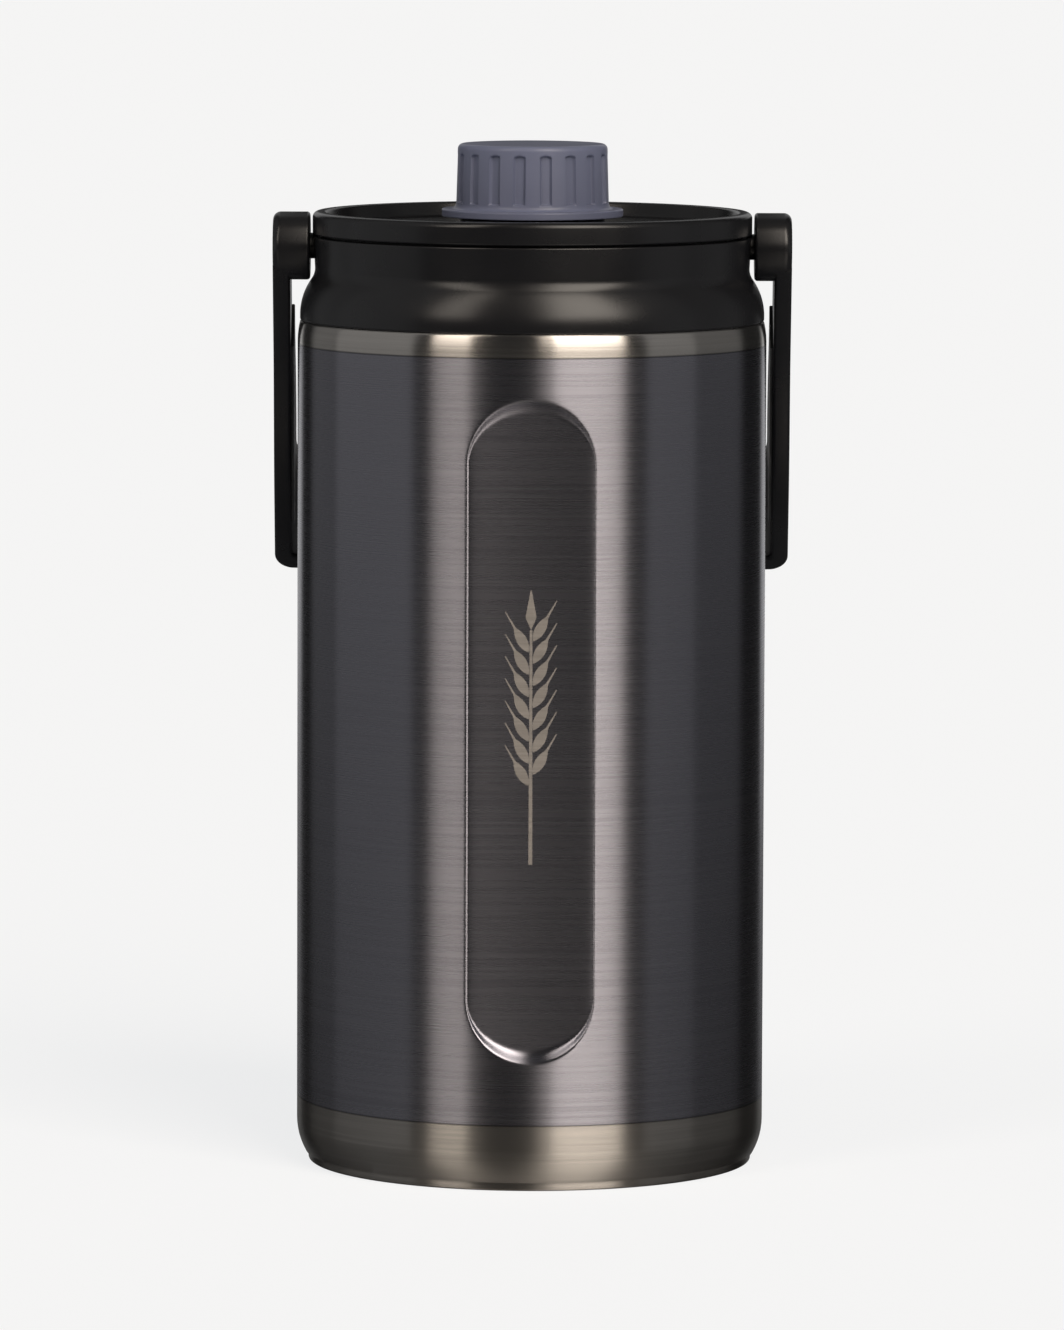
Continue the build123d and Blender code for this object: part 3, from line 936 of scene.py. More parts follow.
    def build_base(self) -> bpy.types.Object:
        """Pressed base with its foot ring and the dimple of the vacuum port.

        Returns:
            The new object.
        """
        foot_r = self.body_r - self.foot_inset
        ring_in, t, z = foot_r - self.foot_width, self.steel, self.foot_h
        return lathe("base_pan", rounded_path([
            (0.0, z + 1.4), (5.6, z + 1.4, 0.4), (7.0, z, 0.8), (ring_in - 0.6, z, 0.6), (ring_in, 0, 0.6),
            (foot_r, 0, 0.6), (foot_r, z + 1.2), (foot_r - t, z + 1.2), (foot_r - t, t, 0.2),
            (ring_in + t, t, 0.2), (ring_in - 0.4, z + t, 0.8), (7.0, z + t, 0.8), (5.6, z + t + 1.4, 0.4),
            (0.0, z + t + 1.4),
        ], turn=12.0), 256)

    def build_liner(self) -> bpy.types.Object:
        """Inner bottle with its rolled lip and the neck's thread.

        Returns:
            The new object.
        """
        neck, liner_r, t = self.mouth_r + self.steel, self.body_r - self.steel - self.vacuum_gap, self.steel
        floor, rise = self.liner_floor_z, self.ledge_z + self.neck_rise
        lip_r = self.neck_r + self.lip_overhang
        bottle = lathe("liner_bottle", rounded_path([
            (0.0, floor), (liner_r, floor, 12.0), (liner_r, rise - 9.0, 10.0), (neck, rise - 3.4, 4.0),
            (neck, self.mouth_z - t), (lip_r, self.mouth_z - t, 0.25), (lip_r, self.mouth_z, 0.25),
            (self.mouth_r, self.mouth_z, 0.3), (self.mouth_r, rise - 3.4, 4.0 - t),
            (liner_r - t, rise - 9.0, 10.0), (liner_r - t, floor + t, 12.0 - t), (0.0, floor + t),
        ], turn=8.0), 224)
        ridges = thread_ridges(
            "neck_thread", ThreadSize(
                root_r=self.mouth_r + 0.2, crest_r=self.mouth_r - self.thread_h, width=self.thread_w,
                lead=self.thread_lead, turns=self.thread_turns, starts=self.thread_starts,
                low_z=self.thread_z,
            ), self.wardrobe.get(Look.STEEL),
        )
        return joined("inner_bottle", [bottle, ridges])

    def build(self) -> list[Piece]:
        """Builds and dresses the vessel's pieces.

        Returns:
            The pieces, dressed.
        """
        dress = self.wardrobe.dress
        return [
            Piece(dress(self.build_shell(), Look.SHELL), "vessel", "lacquered_steel", ("outer_shell",)),
            Piece(dress(self.build_base(), Look.STEEL), "vessel", "steel", ("base_plate",)),
            Piece(dress(self.build_liner(), Look.STEEL), "vessel", "steel", ("inner_liner",)),
        ]


# ----------------------------------------------------------------------------- threads


CREST_SHARE = 0.5   # a ridge's width at its crest, as a share of its width at its root


@dataclass(frozen=True)
class ThreadSize:
    """Sizes of a thread of several starts, in millimetres."""

    root_r: float
    crest_r: float
    width: float
    lead: float
    turns: float
    starts: int
    low_z: float


def thread_ridges(name: str, size: ThreadSize, material: bpy.types.Material) -> bpy.types.Object:
    """Helical ridges of a thread, made by a tree that sweeps one section along a spiral.

    Args:
        name: the new piece's name.
        size: the thread's sizes.
        material: its finish.

    Returns:
        One object with every start.
    """
    tree = GeometryTree(name, {
        "Radius": (size.root_r + size.crest_r) / 2 * MM, "Height": size.lead * size.turns * MM,
        "Turns": size.turns, "Starts": size.starts, "Low": size.low_z * MM,
        "Depth": abs(size.root_r - size.crest_r) * MM, "Root width": size.width * MM,
        "Crest width": size.width * CREST_SHARE * MM,
        "Facing": math.copysign(math.pi / 2, size.root_r - size.crest_r),
    })
    spiral = tree.add("GeometryNodeCurveSpiral", {
        "Resolution": 96, "Rotations": tree.value("Turns"), "Start Radius": tree.value("Radius"),
        "End Radius": tree.value("Radius"), "Height": tree.value("Height"),
    })
    flat = tree.add("GeometryNodeCurvePrimitiveQuadrilateral", {
        "Bottom Width": tree.value("Root width"), "Top Width": tree.value("Crest width"),
        "Height": tree.value("Depth"), "Offset": 0.0,
    }, mode="TRAPEZOID")
    facing = tree.add("ShaderNodeCombineXYZ", {2: tree.value("Facing")})
    section = tree.add("GeometryNodeTransform", {0: flat.outputs[0], "Rotation": facing.outputs[0]})
    upright = tree.add("GeometryNodeSetCurveNormal", {0: spiral.outputs[0]}, mode="Z_UP")
    ridge = tree.add("GeometryNodeCurveToMesh", {
        0: upright.outputs[0], 1: section.outputs[0], "Fill Caps": True,
    })
    starts = tree.add("GeometryNodeMeshLine", {"Count": tree.value("Starts"), "Offset": (0, 0, 0)})
    number = tree.add("GeometryNodeInputIndex")
    share = tree.math("DIVIDE", number.outputs[0], tree.value("Starts"))
    turn = tree.add("ShaderNodeCombineXYZ", {2: tree.math("MULTIPLY", share, 2 * math.pi)})
    copies = tree.add("GeometryNodeInstanceOnPoints", {
        "Points": starts.outputs[0], "Instance": ridge.outputs[0], "Rotation": turn.outputs[0],
    })
    shift = tree.add("ShaderNodeCombineXYZ", {2: tree.value("Low")})
    raised = tree.add("GeometryNodeTransform", {0: copies.outputs[0], "Translation": shift.outputs[0]})
    tree.end(raised.outputs[0], material)
    made = tree.run(new_object(name, bpy.data.meshes.new(name)))
    clean(made.data)
    made.data.shade_smooth()
    made.data.set_sharp_from_angle(angle=math.radians(40.0))
    return made


# ------------------------------------------------------------------------------ collar


@dataclass
class Collar:
    """The black shoulder ring with its two pivot stubs."""

    wardrobe: Wardrobe
    vessel: SteelVessel
    pivot_z: float
    rise: float = 1.4
    wall: float = 2.3
    clearance: float = 0.6
    edge_inset: float = 0.6
    low_turn: float = 6.3
    high_turn: float = 4.9
    low_share: float = 0.74
    high_share: float = 0.23
    flare: float = 0.5
    slip: float = 0.3
    stub_r: float = 3.3
    washer_x: float = 62.2

    @property
    def bore_r(self) -> float:
        """Radius of the collar's bore."""
        return self.vessel.neck_r + self.clearance

    @property
    def top_r(self) -> float:
        """Outer radius at the top."""
        return self.bore_r + self.wall + self.flare

    def ring_outline(self) -> list[Point]:
        """Outline of the collar's ring.

        Returns:
            The closed outline, in order.
        """
        v = self.vessel
        edge_r, waist_r = v.body_r - self.edge_inset, self.bore_r + self.wall
        low_z, high_z = v.ledge_z + self.low_turn, v.ledge_z + v.neck_rise + self.high_turn
        top_z = v.mouth_z + self.rise
        run, rise = edge_r - waist_r, high_z - low_z
        sweep = math.hypot(run, rise) / math.tan(math.atan2(run, rise) / 2)
        inner_r = v.body_r - v.ledge_inset - v.ledge_width + self.slip
        lip_r = v.neck_r + v.lip_overhang + self.slip
        lip_z = v.mouth_z - v.steel
        return rounded_path([
            (inner_r, v.ledge_z), (edge_r, v.ledge_z, 0.45), (edge_r, low_z, self.low_share * sweep),
            (waist_r, high_z, self.high_share * sweep), (self.top_r, top_z, 0.4), (lip_r, top_z, 0.2),
            (lip_r, lip_z), (self.bore_r, lip_z), (self.bore_r, v.ledge_z + v.neck_rise + 1.2),
            (inner_r, v.ledge_z + v.ledge_width + 1.4),
        ], turn=2.5)

    def build(self) -> list[Piece]:
        """Builds and dresses the collar.

        Returns:
            The pieces, dressed.
        """
        ring = lathe("collar_ring", self.ring_outline(), 256)
        stubs = []
        for side in (1, -1):
            stub = lathe("stub", rounded_path([
                (0.0, self.top_r - 1.2), (self.stub_r, self.top_r - 1.2), (self.stub_r, self.washer_x, 0.3),
                (0.0, self.washer_x),
            ], turn=20.0), 64)
            stubs.append(placed(stub, on_pivot(self.pivot_z, side)))
        made = joined("shoulder_collar", [ring, *stubs])
        return [Piece(self.wardrobe.dress(made, Look.BLACK), "vessel", "black_polypropylene", ("collar",))]


def on_pivot(pivot_z: float, side: int) -> Matrix:
    """Turns a piece made about Z so that it lies on the pivot axis, on the given side."""
    return Matrix.Translation((0, 0, pivot_z * MM)) @ Matrix.Rotation(side * math.pi / 2, 4, "Y")


# ------------------------------------------------------------------------------ handle


@dataclass
class BailHandle:
    """The bail: one bent strap with a hub each side, its soft grip and its trim caps."""

    wardrobe: Wardrobe
    pivot_z: float
    hub_out_x: float
    lean: float
    strap: float = 4.5
    splay: float = 1.3
    hub_r: float = 8.7
    hub_in_x: float = 56.8
    hub_edge: float = 2.0
    reach: float = 95.8
    grip_thick: float = 8.0
    liner_thick: float = 0.8
    liner_start: float = 30.0
    grip_inset: float = 1.2
    grip_round: float = 2.5
    grip_corner: float = 8.0
    bar_half_w: float = 15.0
    corner_r: float = 5.0
    edge_r: float = 0.9
    flare_start: float = 30.0
    flare_end: float = 78.0
    cap_r: float = 5.9
    cap_h: float = 1.4
    cap_gap: float = 0.12
    screw_seat: float = 4.4     # from the hub's outer face in to the screw's seat
    head_r: float = 5.4         # bore round the screw's head
    bore_r: float = 3.36

    @property
    def arm_in_x(self) -> float:
        """Inner face of an arm, beside the pivot."""
        return self.hub_out_x - self.strap

    @property
    def bar_in(self) -> float:
        """From the pivot to the strap's inner face, on the crossbar."""
        return self.reach + self.grip_thick

    @property
    def bar_out(self) -> float:
        """From the pivot to the strap's outer face, on the crossbar."""
        return self.bar_in + self.strap

    def half_width(self, down: float) -> float:
        """Half the strap's width at a distance below the pivot, with its round upper end.

        Args:
            down: distance below the pivot.

        Returns:
            Half the width, in millimetres.
        """
        if down < 0:
            return math.sqrt(max(self.hub_r ** 2 - down ** 2, 0.0))
        share = min(max((down - self.flare_start) / (self.flare_end - self.flare_start), 0.0), 1.0)
        return self.hub_r + (self.bar_half_w - self.hub_r) * share * share * (3 - 2 * share)

    def outline(self, half: float, bottom: float, corner: float, high: float) -> list[Point]:
        """Open U of (x, down) from the left arm's end, round the crossbar, to the right arm's.

        Args:
            half: half the U's width at the pivot.
            bottom: from the pivot down to the crossbar.
            corner: radius of the two corners.
            high: how far above the pivot the arms' ends are.

        Returns:
            Points of (x, down), in order.
        """
        slope = self.splay / self.bar_out
        top_x, low_x = half - slope * high, half + slope * bottom
        return rounded_path([
            (-top_x, -high), (-low_x, bottom, corner), (low_x, bottom, corner), (top_x, -high),
        ], closed=False, turn=9.0)

    def paired(self, outer: list[Point], inner: list[Point], longest: float) -> list[tuple[Point, Point]]:
        """Pairs the points of two Us that have the same corners, adding points on the straights.

        Args:
            outer: points of the outer U.
            inner: points of the inner U.
            longest: the longest run allowed, in millimetres.

        Returns:
            Pairs of an outer and an inner point.
        """
        pairs: list[tuple[Point, Point]] = [(outer[0], inner[0])]
        for (a, c), (b, d) in zip(zip(outer, inner), zip(outer[1:], inner[1:])):
            steps = max(1, math.ceil(math.dist(a, b) / longest))
            for k in range(1, steps + 1):
                t = k / steps
                pairs.append((
                    (a[0] + (b[0] - a[0]) * t, a[1] + (b[1] - a[1]) * t),
                    (c[0] + (d[0] - c[0]) * t, c[1] + (d[1] - c[1]) * t),
                ))
        return pairs

    def swept(
        self, name: str, pairs: list[tuple[Point, Point]], width: Callable[[float], float],
        outer_r: Callable[[float], float], inner_r: Callable[[float], float],
    ) -> bpy.types.Object:
        """Sweeps a rounded rectangle along a U.

        Args:
            name: the new piece's name.
            pairs: outer and inner points, from end to end.
            width: half the width across Y at a distance below the pivot.
            outer_r: rounding of the outer edges there.
            inner_r: rounding of the inner edges there.

        Returns:
            A closed mesh, hanging straight down from the pivot.
        """
        points, faces, ring = [], [], 0
        for outer, inner in pairs:
            down = (outer[1] + inner[1]) / 2
            half, thick = width(down), math.dist(outer, inner)
            limit = max(min(half, thick / 2) - 0.02, 0.01)
            big, small = min(outer_r(down), limit), min(inner_r(down), limit)
            section = rounded_path([
                (-half, 0, big), (half, 0, big), (half, thick, small), (-half, thick, small),
            ], turn=18.0)
            ring = len(section)
            ax, az = (inner[0] - outer[0]) / thick, (inner[1] - outer[1]) / thick
            points += [(outer[0] + ax * d, y, self.pivot_z - outer[1] - az * d) for y, d in section]
        for i in range(len(pairs) - 1):
            a, b = i * ring, (i + 1) * ring
            faces += [(a + k, b + k, b + (k + 1) % ring, a + (k + 1) % ring) for k in range(ring)]
        faces += [tuple(range(ring)), tuple(range(len(points) - ring, len(points)))]
        return mesh_object(name, points, faces, sharp=50.0)

    def leaned(self, obj: bpy.types.Object) -> bpy.types.Object:
        """Leans a piece from straight down back to where the bail rests."""
        pivot = Matrix.Translation((0, 0, self.pivot_z * MM))
        return placed(obj, pivot @ Matrix.Rotation(math.radians(self.lean), 4, "X") @ pivot.inverted())

    def build_strap(self) -> bpy.types.Object:
        """The strap with its hubs, bored for the stubs and the trim caps.

        Returns:
            The new object.
        """
        outer = self.outline(self.hub_out_x, self.bar_out, self.corner_r, 0.0)
        inner = self.outline(self.arm_in_x, self.bar_in, self.corner_r - self.strap + 1, 0.0)
        pairs = self.paired(outer, inner, 3.0)
        edge = self.edge_r
        strap = self.swept("strap", pairs, self.half_width, lambda _: edge, lambda _: edge)
        for side in (1, -1):
            hub = lathe("hub", rounded_path([
                (0.0, self.hub_in_x), (self.hub_r, self.hub_in_x, 0.8),
                (self.hub_r, self.hub_out_x, self.hub_edge), (0.0, self.hub_out_x),
            ], turn=9.0), 96)
            strap = boolean(strap, placed(hub, on_pivot(self.pivot_z, side)), "UNION")
        for side in (1, -1):
            seat_x, cap_x = self.hub_out_x - self.screw_seat, self.hub_out_x - self.cap_h
            pocket_r, past = self.cap_r + self.cap_gap, self.hub_out_x + 2
            bore = lathe("bore", [
                (0.0, self.hub_in_x - 1), (self.bore_r, self.hub_in_x - 1), (self.bore_r, seat_x),
                (self.head_r, seat_x), (self.head_r, cap_x), (pocket_r, cap_x), (pocket_r, past), (0.0, past),
            ], 96)
            strap = boolean(strap, placed(bore, on_pivot(self.pivot_z, side)), "DIFFERENCE")
        strap.name = strap.data.name = "bail_strap"
        return self.leaned(strap)

    def build_grip(self) -> bpy.types.Object:
        """Soft grip: a thick pad on the crossbar that thins into a liner up each arm.

        Returns:
            The new object.
        """
        corner = self.corner_r - self.strap + 1
        outer = self.outline(self.arm_in_x - 0.02, self.bar_in - 0.02, corner, -self.liner_start)
        liner_x = self.arm_in_x - self.liner_thick
        inner = self.outline(liner_x, self.reach, self.grip_corner, -self.liner_start)
        even = self.resampled(outer, 26, corner), self.resampled(inner, 26, self.grip_corner)
        pairs = list(zip(*even))

        def width(down: float) -> float:
            """Half the grip's width."""
            return self.half_width(down) - self.grip_inset

        def rounding(down: float) -> float:
            """Rounding of the grip's edges."""
            return self.grip_round if down > self.reach - self.grip_corner else self.liner_thick

        grip = self.swept("bail_grip", pairs, width, lambda _: 0.02, rounding)
        return self.leaned(grip)

    @staticmethod
    def resampled(path: list[Point], arm_steps: int, corner: float) -> list[Point]:
        """Gives a U the same number of points on its arms, corners and crossbar as any other.

        Args:
            path: points of the U, from end to end.
            arm_steps: number of steps on each arm and on each half of the crossbar.
            corner: radius of the two corners; not used.

        Returns:
            The resampled U.
        """
        count = (len(path) - 2) // 2
        arm, bend, bar = path[:2], path[1:1 + count], path[count:count + 2]
        turns = 10

        def along(points: list[Point], steps: int) -> list[Point]:
            """Points at equal steps along a stretch.

            Args:
                points: the stretch to divide.
                steps: number of equal steps.

            Returns:
                The points, without the last one.
            """
            total = [0.0]
            for a, b in zip(points, points[1:]):
                total.append(total[-1] + math.dist(a, b))
            out = []
            for k in range(steps):
                want, i = total[-1] * k / steps, 0
                while i < len(points) - 2 and total[i + 1] < want:
                    i += 1
                t = (want - total[i]) / max(total[i + 1] - total[i], 1e-9)
                a, b = points[i], points[i + 1]
                out.append((a[0] + (b[0] - a[0]) * t, a[1] + (b[1] - a[1]) * t))
            return out

        half = along(arm, arm_steps) + along(bend, turns) + along([bar[0], (0.0, bar[0][1])], arm_steps)
        return half + [(0.0, bar[0][1])] + [(-x, z) for x, z in reversed(half)]

    def build_caps(self) -> bpy.types.Object:
        """Slightly domed trim cap in each hub's outer face.

        Returns:
            The new object.
        """
        caps = []
        for side in (1, -1):
            cap = lathe("cap", rounded_path([
                (0.0, self.hub_out_x - self.cap_h), (self.cap_r, self.hub_out_x - self.cap_h),
                (self.cap_r, self.hub_out_x - 0.15, 0.4), (0.0, self.hub_out_x),
            ], turn=15.0), 72)
            caps.append(placed(cap, on_pivot(self.pivot_z, side)))
        return self.leaned(joined("hub_trim", caps))

    def build(self) -> list[Piece]:
        """Builds and dresses the handle's pieces.

        Returns:
            The pieces, dressed.
        """
        dress = self.wardrobe.dress
        return [
            Piece(dress(self.build_strap(), Look.BLACK), "handle", "black_polypropylene", ("handle_frame",)),
            Piece(dress(self.build_grip(), Look.GRIP), "handle", "soft_grip", ("handle_grip",)),
            Piece(dress(self.build_caps(), Look.BLACK), "handle", "black_polypropylene", ("hub_caps",)),
        ]


# --------------------------------------------------------------------------------- lid


@dataclass
class ScrewLid:
    """The dished lid, its threaded plug, the spout and their seals."""

    wardrobe: Wardrobe
    vessel: SteelVessel
    lid_r: float
    low_z: float
    top_z: float
    floor: float = 2.0
    rim_w: float = 3.4
    dish_slope: float = 1.2
    plug_low_z: float = 214.0
    plug_wall: float = 2.0
    thread_gap: float = 0.4
    spout_r: float = 12.2
    spout_wall: float = 1.8
    spout_top_z: float = 256.5
    flange_r: float = 18.5
    flange_low_z: float = 241.3
    flange_h: float = 1.4
    spout_thread_h: float = 1.05
    spout_thread_w: float = 1.2
    spout_thread_z: float = 246.8
    spout_lead: float = 6.0
    gasket_w: float = 3.2
    slip: float = 0.3

    @property
    def tube_r(self) -> float:
        """Outer radius of the spout's tube."""
        return self.spout_r + self.spout_wall

    @property
    def plug_r(self) -> float:
        """Outer radius of the plug's wall."""
        return self.vessel.mouth_r - self.vessel.thread_h - self.thread_gap

    def build_top(self) -> bpy.types.Object:
        """Dished top with its raised rim.

        Returns:
            The new object.
        """
        rim_in, dish_z, bore = self.lid_r - self.rim_w, self.low_z + self.floor, self.tube_r + self.slip
        return lathe("lid_top", rounded_path([
            (bore, self.low_z), (self.lid_r, self.low_z, 0.4), (self.lid_r, self.top_z, 1.5),
            (rim_in, self.top_z, 0.9), (rim_in - self.dish_slope, dish_z, 1.2), (bore, dish_z),
        ], turn=6.0), 256)

    def build_plug(self) -> bpy.types.Object:
        """Plug with the lid's thread.

        Returns:
            The new object.
        """
        v, tube = self.vessel, self.tube_r + 0.05
        wall_r, floor_z = self.plug_r - self.plug_wall, self.plug_low_z + self.plug_wall
        cup = lathe("plug_cup", rounded_path([
            (tube, self.plug_low_z), (self.plug_r, self.plug_low_z, 2.0), (self.plug_r, self.low_z),
            (wall_r, self.low_z), (wall_r, floor_z), (tube, floor_z),
        ], turn=10.0), 224)
        size = ThreadSize(
            root_r=self.plug_r - 0.2, crest_r=v.mouth_r - self.thread_gap, width=v.thread_w,
            lead=v.thread_lead, turns=v.thread_turns, starts=v.thread_starts,
            low_z=v.thread_z - v.thread_lead / v.thread_starts / 2,
        )
        ridges = thread_ridges("plug_thread", size, self.wardrobe.get(Look.INNER_BLACK))
        return joined("threaded_plug", [cup, ridges])

    def build_spout(self) -> bpy.types.Object:
        """Pour tube with its flange and its thread.

        Returns:
            The new object.
        """
        tube, high_z = self.tube_r, self.flange_low_z + self.flange_h
        body = lathe("spout_tube", rounded_path([
            (self.spout_r, self.plug_low_z), (tube, self.plug_low_z), (tube, self.flange_low_z),
            (self.flange_r, self.flange_low_z), (self.flange_r, high_z, 0.4), (tube, high_z, 0.5),
            (tube, self.spout_top_z, 0.5), (self.spout_r, self.spout_top_z, 0.5),
        ], turn=12.0), 128)
        size = ThreadSize(
            root_r=tube - 0.2, crest_r=tube + self.spout_thread_h, width=self.spout_thread_w,
            lead=self.spout_lead, turns=0.9, starts=2, low_z=self.spout_thread_z,
        )
        ridges = thread_ridges("spout_thread", size, self.wardrobe.get(Look.INNER_BLACK))
        return joined("pour_spout", [body, ridges])

    def build_gasket(self) -> bpy.types.Object:
        """Silicone ring between the steel lip and the lid, with a bead on its edge.

        Returns:
            The new object.
        """
        outer = self.vessel.neck_r + self.vessel.lip_overhang - self.slip
        return lathe("lid_ring_seal", rounded_path([
            (outer - self.gasket_w, self.vessel.mouth_z, 0.3), (outer, self.vessel.mouth_z, 0.5),
            (outer, self.low_z, 0.5), (outer - self.gasket_w, self.low_z, 0.3),
        ], turn=15.0), 224)

    def build(self) -> list[Piece]:
        """Builds and dresses the lid's pieces.

        Returns:
            The pieces, dressed.
        """
        dress = self.wardrobe.dress
        return [
            Piece(dress(self.build_top(), Look.BLACK), "lid", "black_polypropylene", ("lid_shell",)),
            Piece(dress(self.build_plug(), Look.INNER_BLACK), "lid", "inner_polypropylene", ("lid_plug",)),
            Piece(dress(self.build_spout(), Look.INNER_BLACK), "lid", "inner_polypropylene", ("spout",)),
            Piece(dress(self.build_gasket(), Look.SILICONE), "lid_seal", "silicone", ("lid_gasket",)),
        ]


# --------------------------------------------------------------------------------- cap


@dataclass
class PourCap:
    """The ribbed screw cap: its shell and its threaded liner."""

    wardrobe: Wardrobe
    lid: ScrewLid
    low_z: float
    top_z: float
    flange_r: float
    base_r: float = 19.6
    top_r: float = 19.1
    flange_h: float = 2.0
    fillet: float = 1.3
    edge_r: float = 1.4
    roof: float = 2.0
    ribs: int = 18
    groove_w: float = 3.1
    groove_depth: float = 0.9
    groove_low: float = 1.5
    groove_high: float = 2.4
    liner_wall: float = 1.5
    liner_gap: float = 0.35
    seal_top_z: float = 258.3

    @property
    def liner_bore(self) -> float:
        """Bore of the threaded liner."""
        return self.lid.tube_r + self.lid.spout_thread_h + self.liner_gap

    def build_shell(self) -> bpy.types.Object:
        """Barrel with a flange, into whose wall a tree presses the grooves between the ribs.

        Returns:
            The new object.
        """
        bore, deck = self.liner_bore + self.liner_wall + 0.05, self.low_z + self.flange_h
        outer = rounded_path([
            (bore, self.low_z), (self.flange_r, self.low_z, 0.35), (self.flange_r, deck, 0.45),
            (self.base_r, deck, self.fillet), (self.top_r, self.top_z, self.edge_r), (0.0, self.top_z),
        ], closed=False, turn=7.0)
        wall = divided(outer, 0.28)
        under = [(0.0, self.top_z - self.roof), (bore, self.top_z - self.roof)]
        barrel = lathe("cap_barrel", [p for p in wall if p[0] > 2 or p == wall[-1]] + under, 540, sharp=60.0)
        return self.grooved(barrel)

    def grooved(self, barrel: bpy.types.Object) -> bpy.types.Object:
        """Presses evenly spaced grooves into the barrel with a tree that moves its points.

        Args:
            barrel: the cap's smooth barrel.

        Returns:
            The ribbed cap.
        """
        deck = self.low_z + self.flange_h
        tree = GeometryTree("cap_ribs", {
            "Ribs": self.ribs, "Groove width": self.groove_w * MM, "Groove depth": self.groove_depth * MM,
            "Low": (deck + self.groove_low) * MM, "High": (self.top_z - self.groove_high) * MM,
            "Softness": 0.35 * MM, "Barrel radius": self.top_r * MM,
        })
        place = tree.add("ShaderNodeSeparateXYZ", {0: tree.add("GeometryNodeInputPosition").outputs[0]})
        x, y, z = place.outputs
        radius = tree.math("SQRT", tree.math("ADD", tree.math("MULTIPLY", x, x), tree.math("MULTIPLY", y, y)))
        pitch = tree.math("DIVIDE", 2 * math.pi, tree.value("Ribs"))
        angle = tree.math("ADD", tree.math("ARCTAN2", y, x), math.pi / 2 + 2 * math.pi)
        along = tree.math("FLOORED_MODULO", angle, pitch)
        within = tree.math("SUBTRACT", along, tree.math("MULTIPLY", pitch, 0.5))
        across = tree.math("MULTIPLY", tree.math("ABSOLUTE", within), tree.value("Barrel radius"))
        half = tree.math("MULTIPLY", tree.value("Groove width"), 0.5)
        inset = tree.math("SUBTRACT", half, across)
        # The upper end is rounded: it falls away towards the groove's sides.
        bow = tree.math("MULTIPLY", tree.math("POWER", tree.math("DIVIDE", across, half), 4.0), half)
        below = tree.math("SUBTRACT", tree.value("High"), z)
        top = tree.math("SUBTRACT", below, tree.math("MULTIPLY", bow, 0.5))
        foot = tree.math("SUBTRACT", z, tree.value("Low"))
        edge = tree.math("MINIMUM", tree.math("MINIMUM", top, foot), inset)
        share = tree.math("DIVIDE", edge, tree.value("Softness"), clamp=True)
        smooth = tree.add("ShaderNodeMapRange", {0: share}, interpolation_type="SMOOTHSTEP").outputs[0]
        outside = tree.math("GREATER_THAN", radius, (self.liner_bore + self.liner_wall + 0.6) * MM)
        press = tree.math("MULTIPLY", tree.math("MULTIPLY", smooth, outside), tree.value("Groove depth"))
        back = tree.math("DIVIDE", press, tree.math("MAXIMUM", radius, 0.001))
        offset = tree.add("ShaderNodeCombineXYZ", {
            0: tree.math("MULTIPLY", tree.math("MULTIPLY", x, back), -1.0),
            1: tree.math("MULTIPLY", tree.math("MULTIPLY", y, back), -1.0),
        })
        moved = tree.add("GeometryNodeSetPosition", {0: tree.source.outputs[0], "Offset": offset.outputs[0]})
        tree.end(moved.outputs[0], self.wardrobe.get(Look.SLATE))
        made = tree.run(barrel)
        made.name = made.data.name = "ribbed_cap"
        made.data.set_sharp_from_angle(angle=math.radians(60.0))
        return made

    def build_liner(self) -> bpy.types.Object:
        """Threaded liner inside the cap.

        Returns:
            The new object.
        """
        bore, outer = self.liner_bore, self.liner_bore + self.liner_wall
        low, high = self.low_z + self.flange_h, self.top_z - self.roof
        cup = lathe("liner_cup", rounded_path([
            (0.0, self.seal_top_z), (bore, self.seal_top_z), (bore, low, 0.4), (outer, low, 0.4),
            (outer, high), (0.0, high),
        ], turn=20.0), 128)
        size = ThreadSize(
            root_r=bore + 0.2, crest_r=self.lid.tube_r + self.liner_gap, width=self.lid.spout_thread_w,
            lead=self.lid.spout_lead, turns=0.9, starts=2,
            low_z=self.lid.spout_thread_z - self.lid.spout_lead / 4,
        )
        ridges = thread_ridges("liner_thread", size, self.wardrobe.get(Look.INNER_BLACK))
        return joined("cap_thread_liner", [cup, ridges])

    def build(self) -> list[Piece]:
        """Builds and dresses the cap's pieces.

        Returns:
            The pieces, dressed.
        """
        dress = self.wardrobe.dress
        return [
            Piece(dress(self.build_shell(), Look.SLATE), "cap", "slate_polypropylene", ("cap_shell",)),
            Piece(dress(self.build_liner(), Look.INNER_BLACK), "cap", "inner_polypropylene", ("cap_insert",)),
        ]


# -------------------------------------------------------------------------- etched ear


